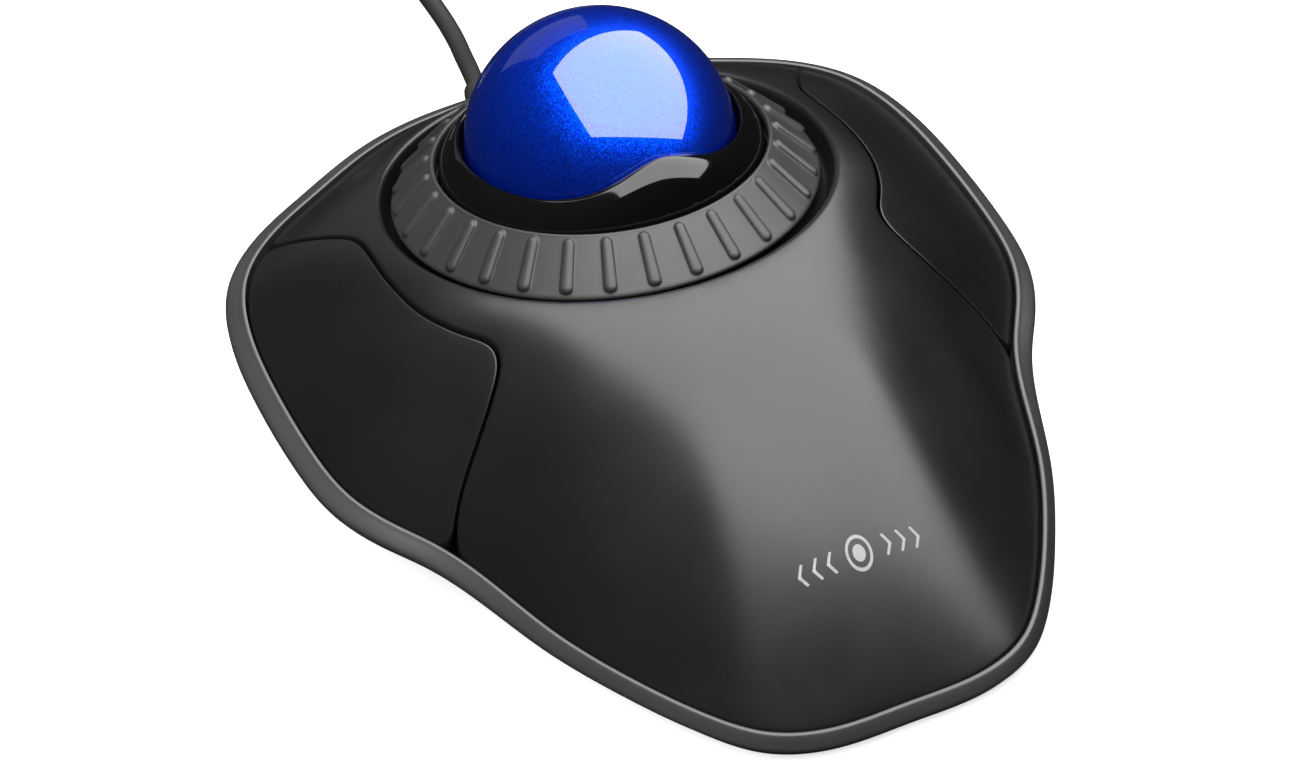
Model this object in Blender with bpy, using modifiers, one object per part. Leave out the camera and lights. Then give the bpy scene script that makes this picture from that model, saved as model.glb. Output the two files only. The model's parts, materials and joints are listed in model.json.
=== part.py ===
"""Two-button finger trackball with a scroll ring, built as an assembly.

Frame: +X to the user's right, +Y towards the cable, +Z up.  The user's palm rests on the
-Y end.  The origin is on the desk, at the centre of the body's footprint.
Lengths are metres; MM turns millimetres into metres.
"""

import math

import bmesh
import bpy
import numpy as np
from mathutils import Matrix, Vector

MM = 0.001

# ---------------------------------------------------------------- driving dimensions
GAP = 0.3 * MM              # clearance that resting pieces keep
BALL_R = 20.0 * MM
BALL_Y = 29.4 * MM
BALL_Z = 38.0 * MM          # ball top is then 58 mm above the desk
RING_TILT = math.radians(11.4)   # the ball, ring and bezel share one axis, leaning to +Y
RING_PITCH = 12.0           # degrees from one finger rib to the next
RIB_PHASE = math.radians(4.7)    # where the first rib stands at rest

SEGMENTS = 64               # stations around the body's outline
DECK_Z = 4.4 * MM           # height of the rim's bright lip at the palm end
DECK_SLOPE = 0.13           # the lip rises by this much towards the cable end
PALM_END = -66.5 * MM
RIM_NARROW = 1.9 * MM       # how far the rim stands out at the palm end
RIM_WIDE = 3.0 * MM         # and along the wings
RIM_DROP = 2.2 * MM         # from the lip down to the widest line of the rim
BASE_Z = 1.3 * MM           # underside of the bottom case, above the feet
FLOOR_Z = 2.7 * MM          # inner face of the bottom case's floor

LIP_R = 33.2 * MM           # edge of the round recess that the scroll ring sits in
LIP_DROP = 6.0 * MM         # that edge, below the ball's centre along the ring axis
LIP_SHIFT = 1.0 * MM        # that edge lies this much nearer the palm than the ring does
DOME_POWER = 1.42           # how full the deck is between the recess and the rim
PALM_FULLNESS = 0.65        # how much fuller it is along the middle of the palm rest
PALM_WIDTH = 23.5 * MM      # how far that reaches to each side
SHELL_WALL = 2.0 * MM
EDGE_WALL = 0.8 * MM
EDGE_DROP = 0.5 * MM        # the deck's edge lies this far under the rim's lip
EDGE_GAP = 0.35 * MM

KEY_GAP = 0.45 * MM         # seam between a button and the shell
HINGE_Y = -4.0 * MM
HINGE_Z = 13.4 * MM
HINGE_PIN_R = 1.0 * MM

BOARD_Z = 6.5 * MM
BOARD_TOP = 8.1 * MM
SWITCH_AT = (44.0 * MM, 24.0 * MM)

CORD_R = 1.45 * MM
COIL_AT = (34.0 * MM, 141.0 * MM)
COIL_MEAN_R = 17.4 * MM
COIL_COLUMNS = 4            # turns side by side, and as many layers
COIL_BASE = 0.9 * MM

# Right half of the deck's outline, from the palm end round to the cable end.
OUTLINE = [(0, -63.95), (12.5, -63.5), (20.6, -60.4), (26.2, -54.8), (33.0, -44.6),
           (39.4, -31.8), (44.2, -17.6), (47.4, -10.6), (51.2, -4.6), (54.4, 2.4),
           (55.6, 12.0), (55.3, 25.0), (53.3, 38.2), (50.0, 45.6), (44.2, 51.2),
           (33.0, 57.0), (20.0, 62.2), (9.0, 63.9)]
OUTLINE_END = (0, 64.0)

# Right button in plan: along the ring, round the inner corner and out at the waist.
KEY_SEAM = [(37.6, 37.4), (36.9, 35.2), (37.1, 31.5), (37.8, 24.0), (37.3, 15.0),
            (34.9, 7.9), (31.9, 3.0), (31.3, 1.4), (31.5, -0.1), (32.6, -1.5),
            (36.6, -4.7), (41.6, -7.9), (44.4, -10.4), (46.2, -14.2)]
KEY_OUTSIDE = [(50.0, -24.0), (75.0, -24.0), (75.0, 80.0), (58.0, 73.0)]

# Route of the cable's lead, from the strain relief to the coil.
LEAD_ROUTE = [(6.3, 82.6, 6.8), (8.0, 88.4, 5.2), (9.7, 94.2, 3.2), (11.2, 100.0, 1.9),
              (12.0, 106.0, 1.5), (12.3, 113.0, 1.5), (12.3, 121.0, 1.6),
              (12.25, 128.5, 1.9)]
# Route of the cable's tail, from the top of the coil to the plug.
TAIL_ROUTE = [(11.6, 152.6, 10.6), (11.4, 161.0, 8.2), (9.6, 169.5, 5.8),
              (4.8, 176.6, 4.3), (-2.0, 179.4, 3.9), (-8.2, 177.4, 3.9),
              (-11.4, 172.6, 3.9), (-12.0, 168.4, 3.9)]
PLUG_AT = (-12.0 * MM, 140.0 * MM, 3.9 * MM)   # front face of the plug's moulding
RELIEF_START = (-1.65 * MM, 55.3 * MM, 10.2 * MM)
RELIEF_DIRECTION = (0.27, 0.955, -0.12)
RELIEF_LENGTH = 28.1 * MM


# ---------------------------------------------------------------- scene and materials
def clear_scene():
    for item in list(bpy.data.objects):
        bpy.data.objects.remove(item)
    parts = bpy.data.collections.new("trackball")
    cutters = bpy.data.collections.new("cutters")
    bpy.context.scene.collection.children.link(parts)
    bpy.context.scene.collection.children.link(cutters)
    return parts, cutters


PARTS, CUTTERS = clear_scene()


def make_material(name, colour, roughness, metallic=0.0):
    material = bpy.data.materials.new(name)
    material.use_nodes = True
    shader = material.node_tree.nodes["Principled BSDF"]
    shader.inputs["Base Color"].default_value = (*colour, 1.0)
    shader.inputs["Roughness"].default_value = roughness
    shader.inputs["Metallic"].default_value = metallic
    return material


RIM_GREY = make_material("rim_grey", (0.13, 0.14, 0.14), 0.4, 0.3)
DECK_BLACK = make_material("deck_black", (0.018, 0.018, 0.019), 0.42)
GLOSS_BLACK = make_material("gloss_black", (0.006, 0.006, 0.006), 0.06)
RING_RUBBER = make_material("ring_rubber", (0.11, 0.11, 0.11), 0.5)
BALL_BLUE = make_material("ball_blue", (0.01, 0.06, 0.7), 0.1, 0.3)
INNER_PLASTIC = make_material("inner_plastic", (0.04, 0.04, 0.045), 0.5)
CERAMIC = make_material("ceramic", (0.85, 0.84, 0.8), 0.15)
BOARD_GREEN = make_material("board_green", (0.02, 0.16, 0.06), 0.45)
CHIP_BLACK = make_material("chip_black", (0.02, 0.02, 0.02), 0.4)
CLEAR_PLASTIC = make_material("clear_plastic", (0.8, 0.85, 0.88), 0.05)
LED_RED = make_material("led_red", (0.7, 0.05, 0.03), 0.15)
STEEL = make_material("steel", (0.6, 0.6, 0.61), 0.25, 1.0)
SWITCH_RED = make_material("switch_red", (0.5, 0.04, 0.03), 0.4)
CONNECTOR_WHITE = make_material("connector_white", (0.75, 0.74, 0.7), 0.5)
FOOT_RUBBER = make_material("foot_rubber", (0.03, 0.03, 0.03), 0.8)
CORD_BLACK = make_material("cord_black", (0.03, 0.03, 0.03), 0.55)


def add_object(name, mesh, material, collection=None):
    item = bpy.data.objects.new(name, mesh)
    (collection or PARTS).objects.link(item)
    if material:
        mesh.materials.append(material)
    return item


def mesh_from(bm, name, smooth_angle=40):
    """Turn bm into a mesh whose faces point out, smooth but for edges over the angle."""
    bmesh.ops.recalc_face_normals(bm, faces=bm.faces)
    mesh = bpy.data.meshes.new(name)
    bm.to_mesh(mesh)
    bm.free()
    mesh.shade_smooth()
    mesh.set_sharp_from_angle(angle=math.radians(smooth_angle))
    return mesh


def as_cutter(item):
    """Move item to the cutters, where it shapes other pieces and isn't one itself."""
    for collection in list(item.users_collection):
        collection.objects.unlink(item)
    CUTTERS.objects.link(item)
    item.hide_render = True
    item.display_type = "WIRE"
    return item


def combine(item, other, operation):
    boolean = item.modifiers.new(operation.lower(), "BOOLEAN")
    boolean.operation = operation
    boolean.solver = "EXACT"
    boolean.object = as_cutter(other)
    return item


# ---------------------------------------------------------------- basic solids
def loft(name, rings, material, closed=False):
    """Skin rings of equally many points; the two ends are capped unless it is closed."""
    bm = bmesh.new()
    rows = [[bm.verts.new(point) for point in ring] for ring in rings]
    count = len(rings[0])
    pairs = list(zip(rows, rows[1:]))
    if closed:
        pairs.append((rows[-1], rows[0]))
    for low, high in pairs:
        for k in range(count):
            n = (k + 1) % count
            bm.faces.new((low[k], low[n], high[n], high[k]))
    if not closed:
        bm.faces.new(rows[0][::-1])
        bm.faces.new(rows[-1])
    return add_object(name, mesh_from(bm, name), material)


def turned(name, profile, material, steps=48, closed=True):
    """Turn a profile of (radius, height) about Z; it runs down its outer side."""
    mesh = bpy.data.meshes.new(name)
    points = [(radius, 0.0, height) for radius, height in profile]
    edges = [(k, k + 1) for k in range(len(points) - 1)]
    if closed:
        edges.append((len(points) - 1, 0))
    mesh.from_pydata(points, edges, [])
    item = add_object(name, mesh, material)
    screw = item.modifiers.new("turn", "SCREW")
    screw.steps = screw.render_steps = steps
    screw.use_merge_vertices = True
    screw.merge_threshold = 0.00001
    screw.use_smooth_shade = True
    return item


def box(name, low, high, material, bevel=0.0):
    bm = bmesh.new()
    centre = [(a + b) / 2 for a, b in zip(low, high)]
    size = [b - a for a, b in zip(low, high)]
    place = Matrix.Translation(centre) @ Matrix.Diagonal((*size, 1.0))
    bmesh.ops.create_cube(bm, size=1.0, matrix=place)
    item = add_object(name, mesh_from(bm, name, 30), material)
    if bevel:
        rounding = item.modifiers.new("bevel", "BEVEL")
        rounding.width = bevel
        rounding.segments = 2
        rounding.limit_method = "ANGLE"
    return item


def rod(name, start, end, radius, material, steps=16, end_radius=None):
    """A cylinder, or a cone if end_radius is given, between two points."""
    start, end = Vector(start), Vector(end)
    along = end - start
    place = Matrix.Translation((start + end) / 2) @ along.to_track_quat("Z", "Y").to_matrix().to_4x4()
    bm = bmesh.new()
    bmesh.ops.create_cone(bm, cap_ends=True, segments=steps, radius1=radius,
                          radius2=radius if end_radius is None else end_radius,
                          depth=along.length, matrix=place)
    return add_object(name, mesh_from(bm, name), material)


def plate(name, outline, low, high, material):
    """A flat plate with the given plan outline, in metres."""
    bm = bmesh.new()
    face = bm.faces.new([bm.verts.new((x, y, low)) for x, y in outline])
    raised = bmesh.ops.extrude_face_region(bm, geom=[face])
    top = [v for v in raised["geom"] if isinstance(v, bmesh.types.BMVert)]
    bmesh.ops.translate(bm, verts=top, vec=(0, 0, high - low))
    return add_object(name, mesh_from(bm, name, 30), material)


def sphere(name, centre, radius, material, around=32, down=16):
    bm = bmesh.new()
    bmesh.ops.create_uvsphere(bm, u_segments=around, v_segments=down, radius=radius,
                              matrix=Matrix.Translation(centre))
    return add_object(name, mesh_from(bm, name, 60), material)


def group(name, items):
    """Join separate solids into one cutter, so that one Boolean applies them all."""
    bm = bmesh.new()
    for item in items:
        bm.from_mesh(item.data)
        bpy.data.objects.remove(item)
    return add_object(name, mesh_from(bm, name, 30), None)


# ---------------------------------------------------------------- curves
def closed_spline(points, count):
    """Points at equal steps along a smooth closed curve through the given points."""
    knots = np.array(points, float)
    n = len(knots)
    step = np.linalg.norm(np.roll(knots, -1, 0) - knots, axis=1)
    before = np.roll(step, 1)
    system = np.zeros((n, n))
    right = np.zeros((n, 2))
    for k in range(n):
        last, after = (k - 1) % n, (k + 1) % n
        system[k, last] += step[k]
        system[k, k] += 2 * (before[k] + step[k])
        system[k, after] += before[k]
        right[k] = 3 * (step[k] * (knots[k] - knots[last]) / before[k]
                        + before[k] * (knots[after] - knots[k]) / step[k])
    slope = np.linalg.solve(system, right)
    fine = []
    for k in range(n):
        after = (k + 1) % n
        for t in np.linspace(0, 1, 40, endpoint=False):
            fine.append((1 + 2 * t) * (1 - t) ** 2 * knots[k]
                        + t * (1 - t) ** 2 * step[k] * slope[k]
                        + t * t * (3 - 2 * t) * knots[after]
                        + t * t * (t - 1) * step[k] * slope[after])
    fine = np.array(fine + [fine[0]])
    run = np.concatenate([[0], np.cumsum(np.linalg.norm(np.diff(fine, axis=0), axis=1))])
    at = np.linspace(0, run[-1], count, endpoint=False)
    return np.stack([np.interp(at, run, fine[:, axis]) for axis in (0, 1)], axis=1)


def open_spline(points, spacing):
    """Points about spacing apart on a smooth curve through the given points."""
    knots = np.array(points, float)
    ends = np.vstack([2 * knots[0] - knots[1], knots, 2 * knots[-1] - knots[-2]])
    fine = []
    for a, b, c, d in zip(ends, ends[1:], ends[2:], ends[3:]):
        for t in np.linspace(0, 1, 30, endpoint=False):
            fine.append(0.5 * (2 * b + (c - a) * t + (2 * a - 5 * b + 4 * c - d) * t * t
                               + (3 * b - a - 3 * c + d) * t ** 3))
    fine = np.array(fine + [knots[-1]])
    run = np.concatenate([[0], np.cumsum(np.linalg.norm(np.diff(fine, axis=0), axis=1))])
    at = np.linspace(0, run[-1], max(2, round(run[-1] / spacing)))
    return np.stack([np.interp(at, run, fine[:, axis]) for axis in range(3)], axis=1)


def deck_outline():
    """The deck's outline: points and outward normals, at equal steps, metres."""
    left = [(-x, y) for x, y in OUTLINE[:0:-1]]
    points = closed_spline([*OUTLINE, OUTLINE_END, *left], SEGMENTS) * MM
    along = np.roll(points, -1, 0) - np.roll(points, 1, 0)
    along /= np.linalg.norm(along, axis=1, keepdims=True)
    return points, np.stack([along[:, 1], -along[:, 0]], axis=1)


RIM_LINE, RIM_NORMAL = deck_outline()


def lip_height(y):
    """Height of the rim's lip, which climbs towards the cable end."""
    return DECK_Z + DECK_SLOPE * (y - PALM_END)


def rim_ring(offset, height):
    """A ring around the body; offset and height are functions of a station's y."""
    ring = []
    for (x, y), (nx, ny) in zip(RIM_LINE, RIM_NORMAL):
        out = offset(y)
        ring.append((x + nx * out, y + ny * out, height(y)))
    return ring


# ---------------------------------------------------------------- ring frame
RING_AXIS = Vector((0, math.sin(RING_TILT), math.cos(RING_TILT)))
RING_FRAME = (Matrix.Translation((0, BALL_Y, BALL_Z)) @ Matrix.Rotation(-RING_TILT, 4, "X"))


def on_ring_axis(item):
    """Put a piece that was made about Z on the ring's axis, with the ball's centre at 0."""
    item.matrix_world = RING_FRAME
    return item


def ring_point(radius, angle, height):
    return RING_FRAME @ Vector((radius * math.cos(angle), radius * math.sin(angle), height))


# ---------------------------------------------------------------- bottom case and rim
def rim_width(y):
    """How far the rim stands out from the deck's outline: wider along the wings."""
    share = max(0.0, min(1.0, 1 + y / (45 * MM)))
    return RIM_NARROW + (RIM_WIDE - RIM_NARROW) * share * share * (3 - 2 * share)


def hull_foot(y):
    """How far the foot of the hull lies outside the deck's outline; inside if negative."""
    return max(1.7 * MM - 0.8 * (lip_height(y) - RIM_DROP - 2 * MM), -5.8 * MM)


def inner_ledge(y):
    """Height at which the rim's inner wall starts to slope in with the hull."""
    return lip_height(y) - min(3.2 * MM, 0.6 * (lip_height(y) - FLOOR_Z))


def bottom_case():
    def widest(y):
        return lip_height(y) - RIM_DROP

    def part_way(share):
        return lambda y: BASE_Z + share * (widest(y) - BASE_Z)

    rings = [
        rim_ring(lambda y: hull_foot(y) - 1.0 * MM, lambda y: BASE_Z),
        rim_ring(hull_foot, part_way(0.3)),
        rim_ring(lambda y: 0.35 * hull_foot(y) + 0.65 * rim_width(y) - 0.1 * MM, part_way(0.8)),
        rim_ring(rim_width, widest),
        rim_ring(lambda y: rim_width(y) - 0.2 * MM, lambda y: lip_height(y) - 1.6 * MM),
        rim_ring(lambda y: 0.75 * MM, lambda y: lip_height(y) - 0.2 * MM),
        rim_ring(lambda y: 0.4 * MM, lip_height),
        rim_ring(lambda y: 0.0, lambda y: lip_height(y) - 0.15 * MM),
        rim_ring(lambda y: 0.0, inner_ledge),
        rim_ring(lambda y: hull_foot(y) - 2.4 * MM, lambda y: FLOOR_Z),
    ]
    case = loft("bottom_case", rings, RIM_GREY)
    combine(case, group("case_posts", case_posts()), "UNION")
    return combine(case, group("case_holes", case_holes()), "DIFFERENCE")


SHELL_SCREWS = [(24.0 * MM, -36.0 * MM, 6.0 * MM), (33.0 * MM, 46.0 * MM, 13.6 * MM)]
CUP_LEGS = [(0.0, BALL_Y + 17 * MM), (14.7 * MM, BALL_Y - 8.5 * MM),
            (-14.7 * MM, BALL_Y - 8.5 * MM)]
BOARD_SCREWS = [(-26.0 * MM, -22.0 * MM), (26.0 * MM, -22.0 * MM),
                (-40.0 * MM, 16.0 * MM), (40.0 * MM, 16.0 * MM)]


def both_sides(places):
    """Mirror a list of (x, y, ...) places to the left, keeping the right ones first."""
    return [place for x, *rest in places for place in ((x, *rest), (-x, *rest))]


def case_posts():
    posts = []
    sunk = FLOOR_Z - 0.8 * MM
    for x, y, top in both_sides(SHELL_SCREWS):
        posts.append(rod("post", (x, y, sunk), (x, y, top), 3.2 * MM, None))
    for x, y in BOARD_SCREWS:
        posts.append(rod("post", (x, y, sunk), (x, y, BOARD_Z - GAP), 2.4 * MM, None))
    for side in (1, -1):
        for inner, outer in ((35.4, 36.9), (42.1, 43.6)):
            xs = sorted((side * inner * MM, side * outer * MM))
            posts.append(box("post", (xs[0], HINGE_Y - 2.2 * MM, sunk),
                             (xs[1], HINGE_Y + 2.2 * MM, HINGE_Z + 1.5 * MM), None))
    return posts


def hinge_bore(side):
    return rod("bore", (side * 34.0 * MM, HINGE_Y, HINGE_Z), (side * 46.0 * MM, HINGE_Y, HINGE_Z),
               HINGE_PIN_R + GAP, None)


def screw_well(x, y, low, shoulder, top):
    """A stepped hole: wide below the shoulder for a screw's head, narrow above it."""
    rings = []
    for radius, z in ((3.0, low), (3.0, shoulder), (1.5, shoulder), (1.5, top)):
        turns = [math.radians(22.5 * k) for k in range(16)]
        rings.append([(x + radius * MM * math.cos(a), y + radius * MM * math.sin(a), z) for a in turns])
    return loft("well", rings, None)


def case_holes():
    holes = [hinge_bore(1), hinge_bore(-1)]
    under = BASE_Z - 1 * MM
    places = both_sides(SHELL_SCREWS) + [(x, y, FLOOR_Z) for x, y in CUP_LEGS]
    for x, y, top in places:
        holes.append(screw_well(x, y, under, BASE_Z + 0.8 * MM, top + 1 * MM))
    for x, y in BOARD_SCREWS:
        holes.append(rod("hole", (x, y, FLOOR_Z + 0.6 * MM), (x, y, BOARD_Z + 1 * MM),
                         1.1 * MM, None))
    way = Vector(RELIEF_DIRECTION).normalized()
    start = Vector(RELIEF_START)
    holes.append(rod("hole", start + way * 1 * MM, start + way * 16 * MM, 3.4 * MM, None))
    return holes


# ---------------------------------------------------------------- deck: shell and buttons
def recess_ring(radius, drop, shift=0.0):
    """A circle square to the ring's axis, one point for each station of the outline."""
    centre = Vector((0, BALL_Y, BALL_Z)) - RING_AXIS * drop
    centre += Vector((0, -math.cos(RING_TILT), math.sin(RING_TILT))) * shift
    ring = []
    for x, y in RIM_LINE:
        angle = math.atan2(y - centre.y, x)
        flat = math.hypot(math.cos(angle), math.sin(angle) / math.cos(RING_TILT))
        reach = radius / flat
        dy = reach * math.sin(angle)
        ring.append((reach * math.cos(angle), centre.y + dy,
                     centre.z - dy * math.tan(RING_TILT)))
    return ring


def deck_ring(share, sink=0.0):
    """A ring on the deck, share 0 at the recess and 1 at the rim, sunk by a wall."""
    inner = recess_ring(LIP_R, LIP_DROP, LIP_SHIFT)
    edge = rim_ring(lambda y: -EDGE_GAP, lambda y: lip_height(y) - EDGE_DROP)
    middle = BALL_Y - LIP_DROP * math.sin(RING_TILT) - LIP_SHIFT * math.cos(RING_TILT)
    ring = []
    for a, b in zip(inner, edge):
        x, y = (a[k] + (b[k] - a[k]) * share for k in (0, 1))
        front = max(0.0, middle - y) / math.hypot(x, y - middle)
        power = DOME_POWER + PALM_FULLNESS * front * math.exp(-((x / PALM_WIDTH) ** 2))
        ring.append((x, y, a[2] + (b[2] - a[2]) * share ** power - sink))
    return ring


def deck_solid(name):
    """The whole deck as one thin solid: recess floor and wall, dome, and edge."""
    top_shares = (0.0, 0.15, 0.35, 0.55, 0.72, 0.87, 1.0)
    under_shares = (0.86, 0.64, 0.36, 0.08)
    rings = [recess_ring(26.3 * MM, 9.6 * MM), recess_ring(32.4 * MM, 9.6 * MM, 0.5 * MM),
             recess_ring(LIP_R - 0.3 * MM, LIP_DROP + 0.7 * MM, LIP_SHIFT)]
    rings += [deck_ring(share) for share in top_shares]
    rings.append(deck_ring(1.0, EDGE_WALL))
    rings += [deck_ring(share, SHELL_WALL) for share in under_shares]
    rings += [recess_ring(34.6 * MM, 11.0 * MM), recess_ring(26.3 * MM, 11.0 * MM)]
    return loft(name, rings, DECK_BLACK, closed=True)


def key_outline(side, grow):
    """Plan outline of a button, grown by the seam's gap for the shell's window."""
    seam = np.array(KEY_SEAM) * MM
    along = np.gradient(seam, axis=0)
    along /= np.linalg.norm(along, axis=1, keepdims=True)
    inward = np.stack([along[:, 1], -along[:, 0]], axis=1)
    moved = seam + inward * grow
    outside = np.array(KEY_OUTSIDE) * MM
    points = np.vstack([moved, outside])
    return [(side * x, y) for x, y in points]


def top_shell():
    shell = deck_solid("top_shell")
    windows = [plate("window", key_outline(side, KEY_GAP), 0.0, 60 * MM, None) for side in (1, -1)]
    combine(shell, group("key_windows", windows), "DIFFERENCE")
    posts, holes = [], []
    for (x, y, low), top in zip(both_sides(SHELL_SCREWS), (16.7, 16.7, 24.6, 24.6)):
        posts.append(rod("post", (x, y, low + GAP), (x, y, top * MM), 2.8 * MM, None))
        holes.append(rod("hole", (x, y, low - 1 * MM), (x, y, (top - 2.5) * MM), 1.3 * MM, None))
    combine(shell, group("shell_posts", posts), "UNION")
    return combine(shell, group("shell_post_holes", holes), "DIFFERENCE")


def button(side, name):
    key = deck_solid(name)
    combine(key, plate(name + "_window", key_outline(side, 0.0), 0.0, 60 * MM, None), "INTERSECT")
    xs = sorted((side * 37.6 * MM, side * 41.4 * MM))
    lug = box("lug", (xs[0], HINGE_Y - 1.9 * MM, HINGE_Z - 1.9 * MM),
              (xs[1], HINGE_Y + 1.9 * MM, HINGE_Z + 6.5 * MM), None)
    x, y = side * SWITCH_AT[0], SWITCH_AT[1]
    finger = rod("finger", (x, y, 16.4 * MM), (x, y, 24.4 * MM), 1.6 * MM, None)
    combine(key, group(name + "_ribs", [lug, finger]), "UNION")
    return combine(key, hinge_bore(side), "DIFFERENCE")


def hinge_pin(side, name):
    return rod(name, (side * 35.0 * MM, HINGE_Y, HINGE_Z), (side * 44.0 * MM, HINGE_Y, HINGE_Z),
               HINGE_PIN_R, STEEL, 20)


# ---------------------------------------------------------------- ring, bezel, cup, ball
def scroll_ring():
    """The rubber scroll ring: a cone with one raised rib in each pitch."""
    face = [(24.45, -1.05, 0), (24.9, -0.75, 0), (26.2, -1.9, 0), (26.8, -2.5, 1),
            (30.2, -5.95, 1), (30.8, -6.55, 0), (31.5, -7.4, 0), (31.15, -8.1, 0),
            (29.8, -8.1, 0), (24.45, -2.9, 0)]
    ribs = round(360 / RING_PITCH)
    steps = ribs * 3
    rings = []
    for radius, height, raised in face:
        ring = []
        for k in range(steps):
            lift = 0.4 * MM if raised and k % 3 == 0 else 0.0
            turn = RIB_PHASE + 2 * math.pi * k / steps
            reach = radius * MM + lift
            ring.append((reach * math.cos(turn), reach * math.sin(turn), height * MM + lift))
        rings.append(ring)
    return on_ring_axis(loft("scroll_ring", rings, RING_RUBBER, closed=True))


def ring_carrier():
    """The carrier under the rubber ring, with encoder teeth on its skirt."""
    profile = [(24.3, -3.9), (24.7, -3.9), (29.2, -8.5), (29.2, -9.1), (25.5, -9.1),
               (25.5, -14.0), (24.3, -14.0)]
    steps = 72
    rings = []
    for radius, height in profile:
        ring = []
        for k in range(steps):
            turn = 2 * math.pi * k / steps
            low = -12.0 if height == -14.0 and k % 4 > 1 else height
            ring.append((radius * MM * math.cos(turn), radius * MM * math.sin(turn), low * MM))
        rings.append(ring)
    return on_ring_axis(loft("ring_carrier", rings, INNER_PLASTIC, closed=True))


def bezel_crest(angle):
    """Height in mm of the bezel's lip: low at the sides, one smooth wave at the palm side."""
    from_front = math.degrees(math.acos(max(-1.0, min(1.0, -math.sin(angle)))))
    back = min(1.0, max(0.0, (from_front - 50.0) / 50.0))
    return 2.1 + 4.7 * math.exp(-((from_front / 27.0) ** 1.8)) + 0.4 * back * back * (3 - 2 * back)


SOCKET_R = 20.6             # mm, inside of the bezel; it follows the ball above its middle
BEZEL_R = 23.95             # mm, outside of the bezel, inside the scroll ring


def socket_radius(height):
    return math.sqrt(SOCKET_R ** 2 - max(0.0, height) ** 2)


def bezel_profile(crest):
    """(radius, height) in mm from the outer foot over the lip to the inner foot."""
    foot, shoulder = -4.3, -1.6
    top = socket_radius(crest) + 0.5
    points = [(BEZEL_R, foot)]
    for turn in (0, 22, 45, 68, 90):
        c, s = math.cos(math.radians(turn)), math.sin(math.radians(turn))
        points.append((top + (BEZEL_R - top) * c, shoulder + (crest - shoulder) * s))
    points.append((socket_radius(crest - 0.5) + 0.02, crest - 0.5))
    return points + [(socket_radius(crest / 2), crest / 2 - 0.4), (SOCKET_R, foot)]


def bezel():
    steps = 64
    rings = []
    for profile in zip(*[bezel_profile(bezel_crest(2 * math.pi * k / steps)) for k in range(steps)]):
        ring = []
        for k, (radius, height) in enumerate(profile):
            turn = 2 * math.pi * k / steps
            ring.append((radius * MM * math.cos(turn), radius * MM * math.sin(turn), height * MM))
        rings.append(ring)
    return on_ring_axis(loft("bezel", rings, GLOSS_BLACK, closed=True))


CUP_INSIDE = 21.0
CUP_OUTSIDE = 24.0
BEARING_R = 1.5 * MM
BEARING_DEPTH = math.radians(40)


def bearing_centre(k):
    reach = BALL_R + GAP + BEARING_R
    turn = math.radians(30 + 120 * k)
    return ring_point(reach * math.cos(BEARING_DEPTH), turn, -reach * math.sin(BEARING_DEPTH))


def ball_cup():
    """The cup under the ball: a spherical wall with a sensor hole and three legs."""
    def arc(radius, first, last):
        return [(radius * math.cos(math.radians(a)) * MM, -radius * math.sin(math.radians(a)) * MM)
                for a in np.linspace(first, last, 6)]

    cup = on_ring_axis(turned("ball_cup", arc(CUP_OUTSIDE, 11.5, 75.5) + arc(CUP_INSIDE, 73.4, 13.0),
                              INNER_PLASTIC, 40))
    legs = [rod("leg", (x, y, FLOOR_Z + GAP), (x, y, 22.2 * MM), 2.4 * MM, None) for x, y in CUP_LEGS]
    cup_legs = group("cup_legs", legs)
    holes = [rod("hole", (x, y, 2 * MM), (x, y, 11 * MM), 1.3 * MM, None) for x, y in CUP_LEGS]
    holes += [sphere("pocket", bearing_centre(k), BEARING_R + GAP, None, 16, 8) for k in range(3)]
    cup_holes = group("cup_holes", holes)
    for cutter in (cup_legs, cup_holes):
        cutter.matrix_world = Matrix.Identity(4)
    combine(cup, cup_legs, "UNION")
    return combine(cup, cup_holes, "DIFFERENCE")


def ball():
    item = sphere("ball", (0, 0, 0), BALL_R, BALL_BLUE, 32, 18)
    item.location = (0, BALL_Y, BALL_Z)
    return item


# ---------------------------------------------------------------- circuit board and what is on it
def circuit_board():
    half = [(0, -30), (27, -30), (33, -12), (34, 6), (47, 12), (46, 33), (29, 38), (26, 52), (0, 53)]
    outline = [(x * MM, y * MM) for x, y in half]
    outline += [(-x * MM, y * MM) for x, y in half[-2:0:-1]]
    board = plate("circuit_board", outline, BOARD_Z, BOARD_TOP, BOARD_GREEN)
    holes = [rod("hole", (x, y, 5 * MM), (x, y, 10 * MM), 2.9 * MM, None) for x, y in CUP_LEGS]
    holes += [rod("hole", (x, y, 5 * MM), (x, y, 10 * MM), 1.3 * MM, None) for x, y in BOARD_SCREWS]
    return combine(board, group("board_holes", holes), "DIFFERENCE")


def on_board(name, x, y, size, material, bevel=0.0):
    """A block standing on the board, centred on x and y; size is in millimetres."""
    wide, deep, tall = size
    foot = BOARD_TOP + GAP
    return box(name, ((x - wide / 2) * MM, (y - deep / 2) * MM, foot),
               ((x + wide / 2) * MM, (y + deep / 2) * MM, foot + tall * MM), material, bevel)


def click_switch(side, name):
    x, y = SWITCH_AT[0] / MM * side, SWITCH_AT[1] / MM
    on_board(name + "_body", x, y, (6.0, 12.8, 6.4), CHIP_BLACK, 0.3 * MM)
    top = BOARD_TOP + GAP + 6.4 * MM
    box(name + "_plunger", ((x - 1.2) * MM, (y - 1.4) * MM, top + 0.5 * MM),
        ((x + 1.2) * MM, (y + 1.4) * MM, 16.1 * MM), SWITCH_RED)


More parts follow.
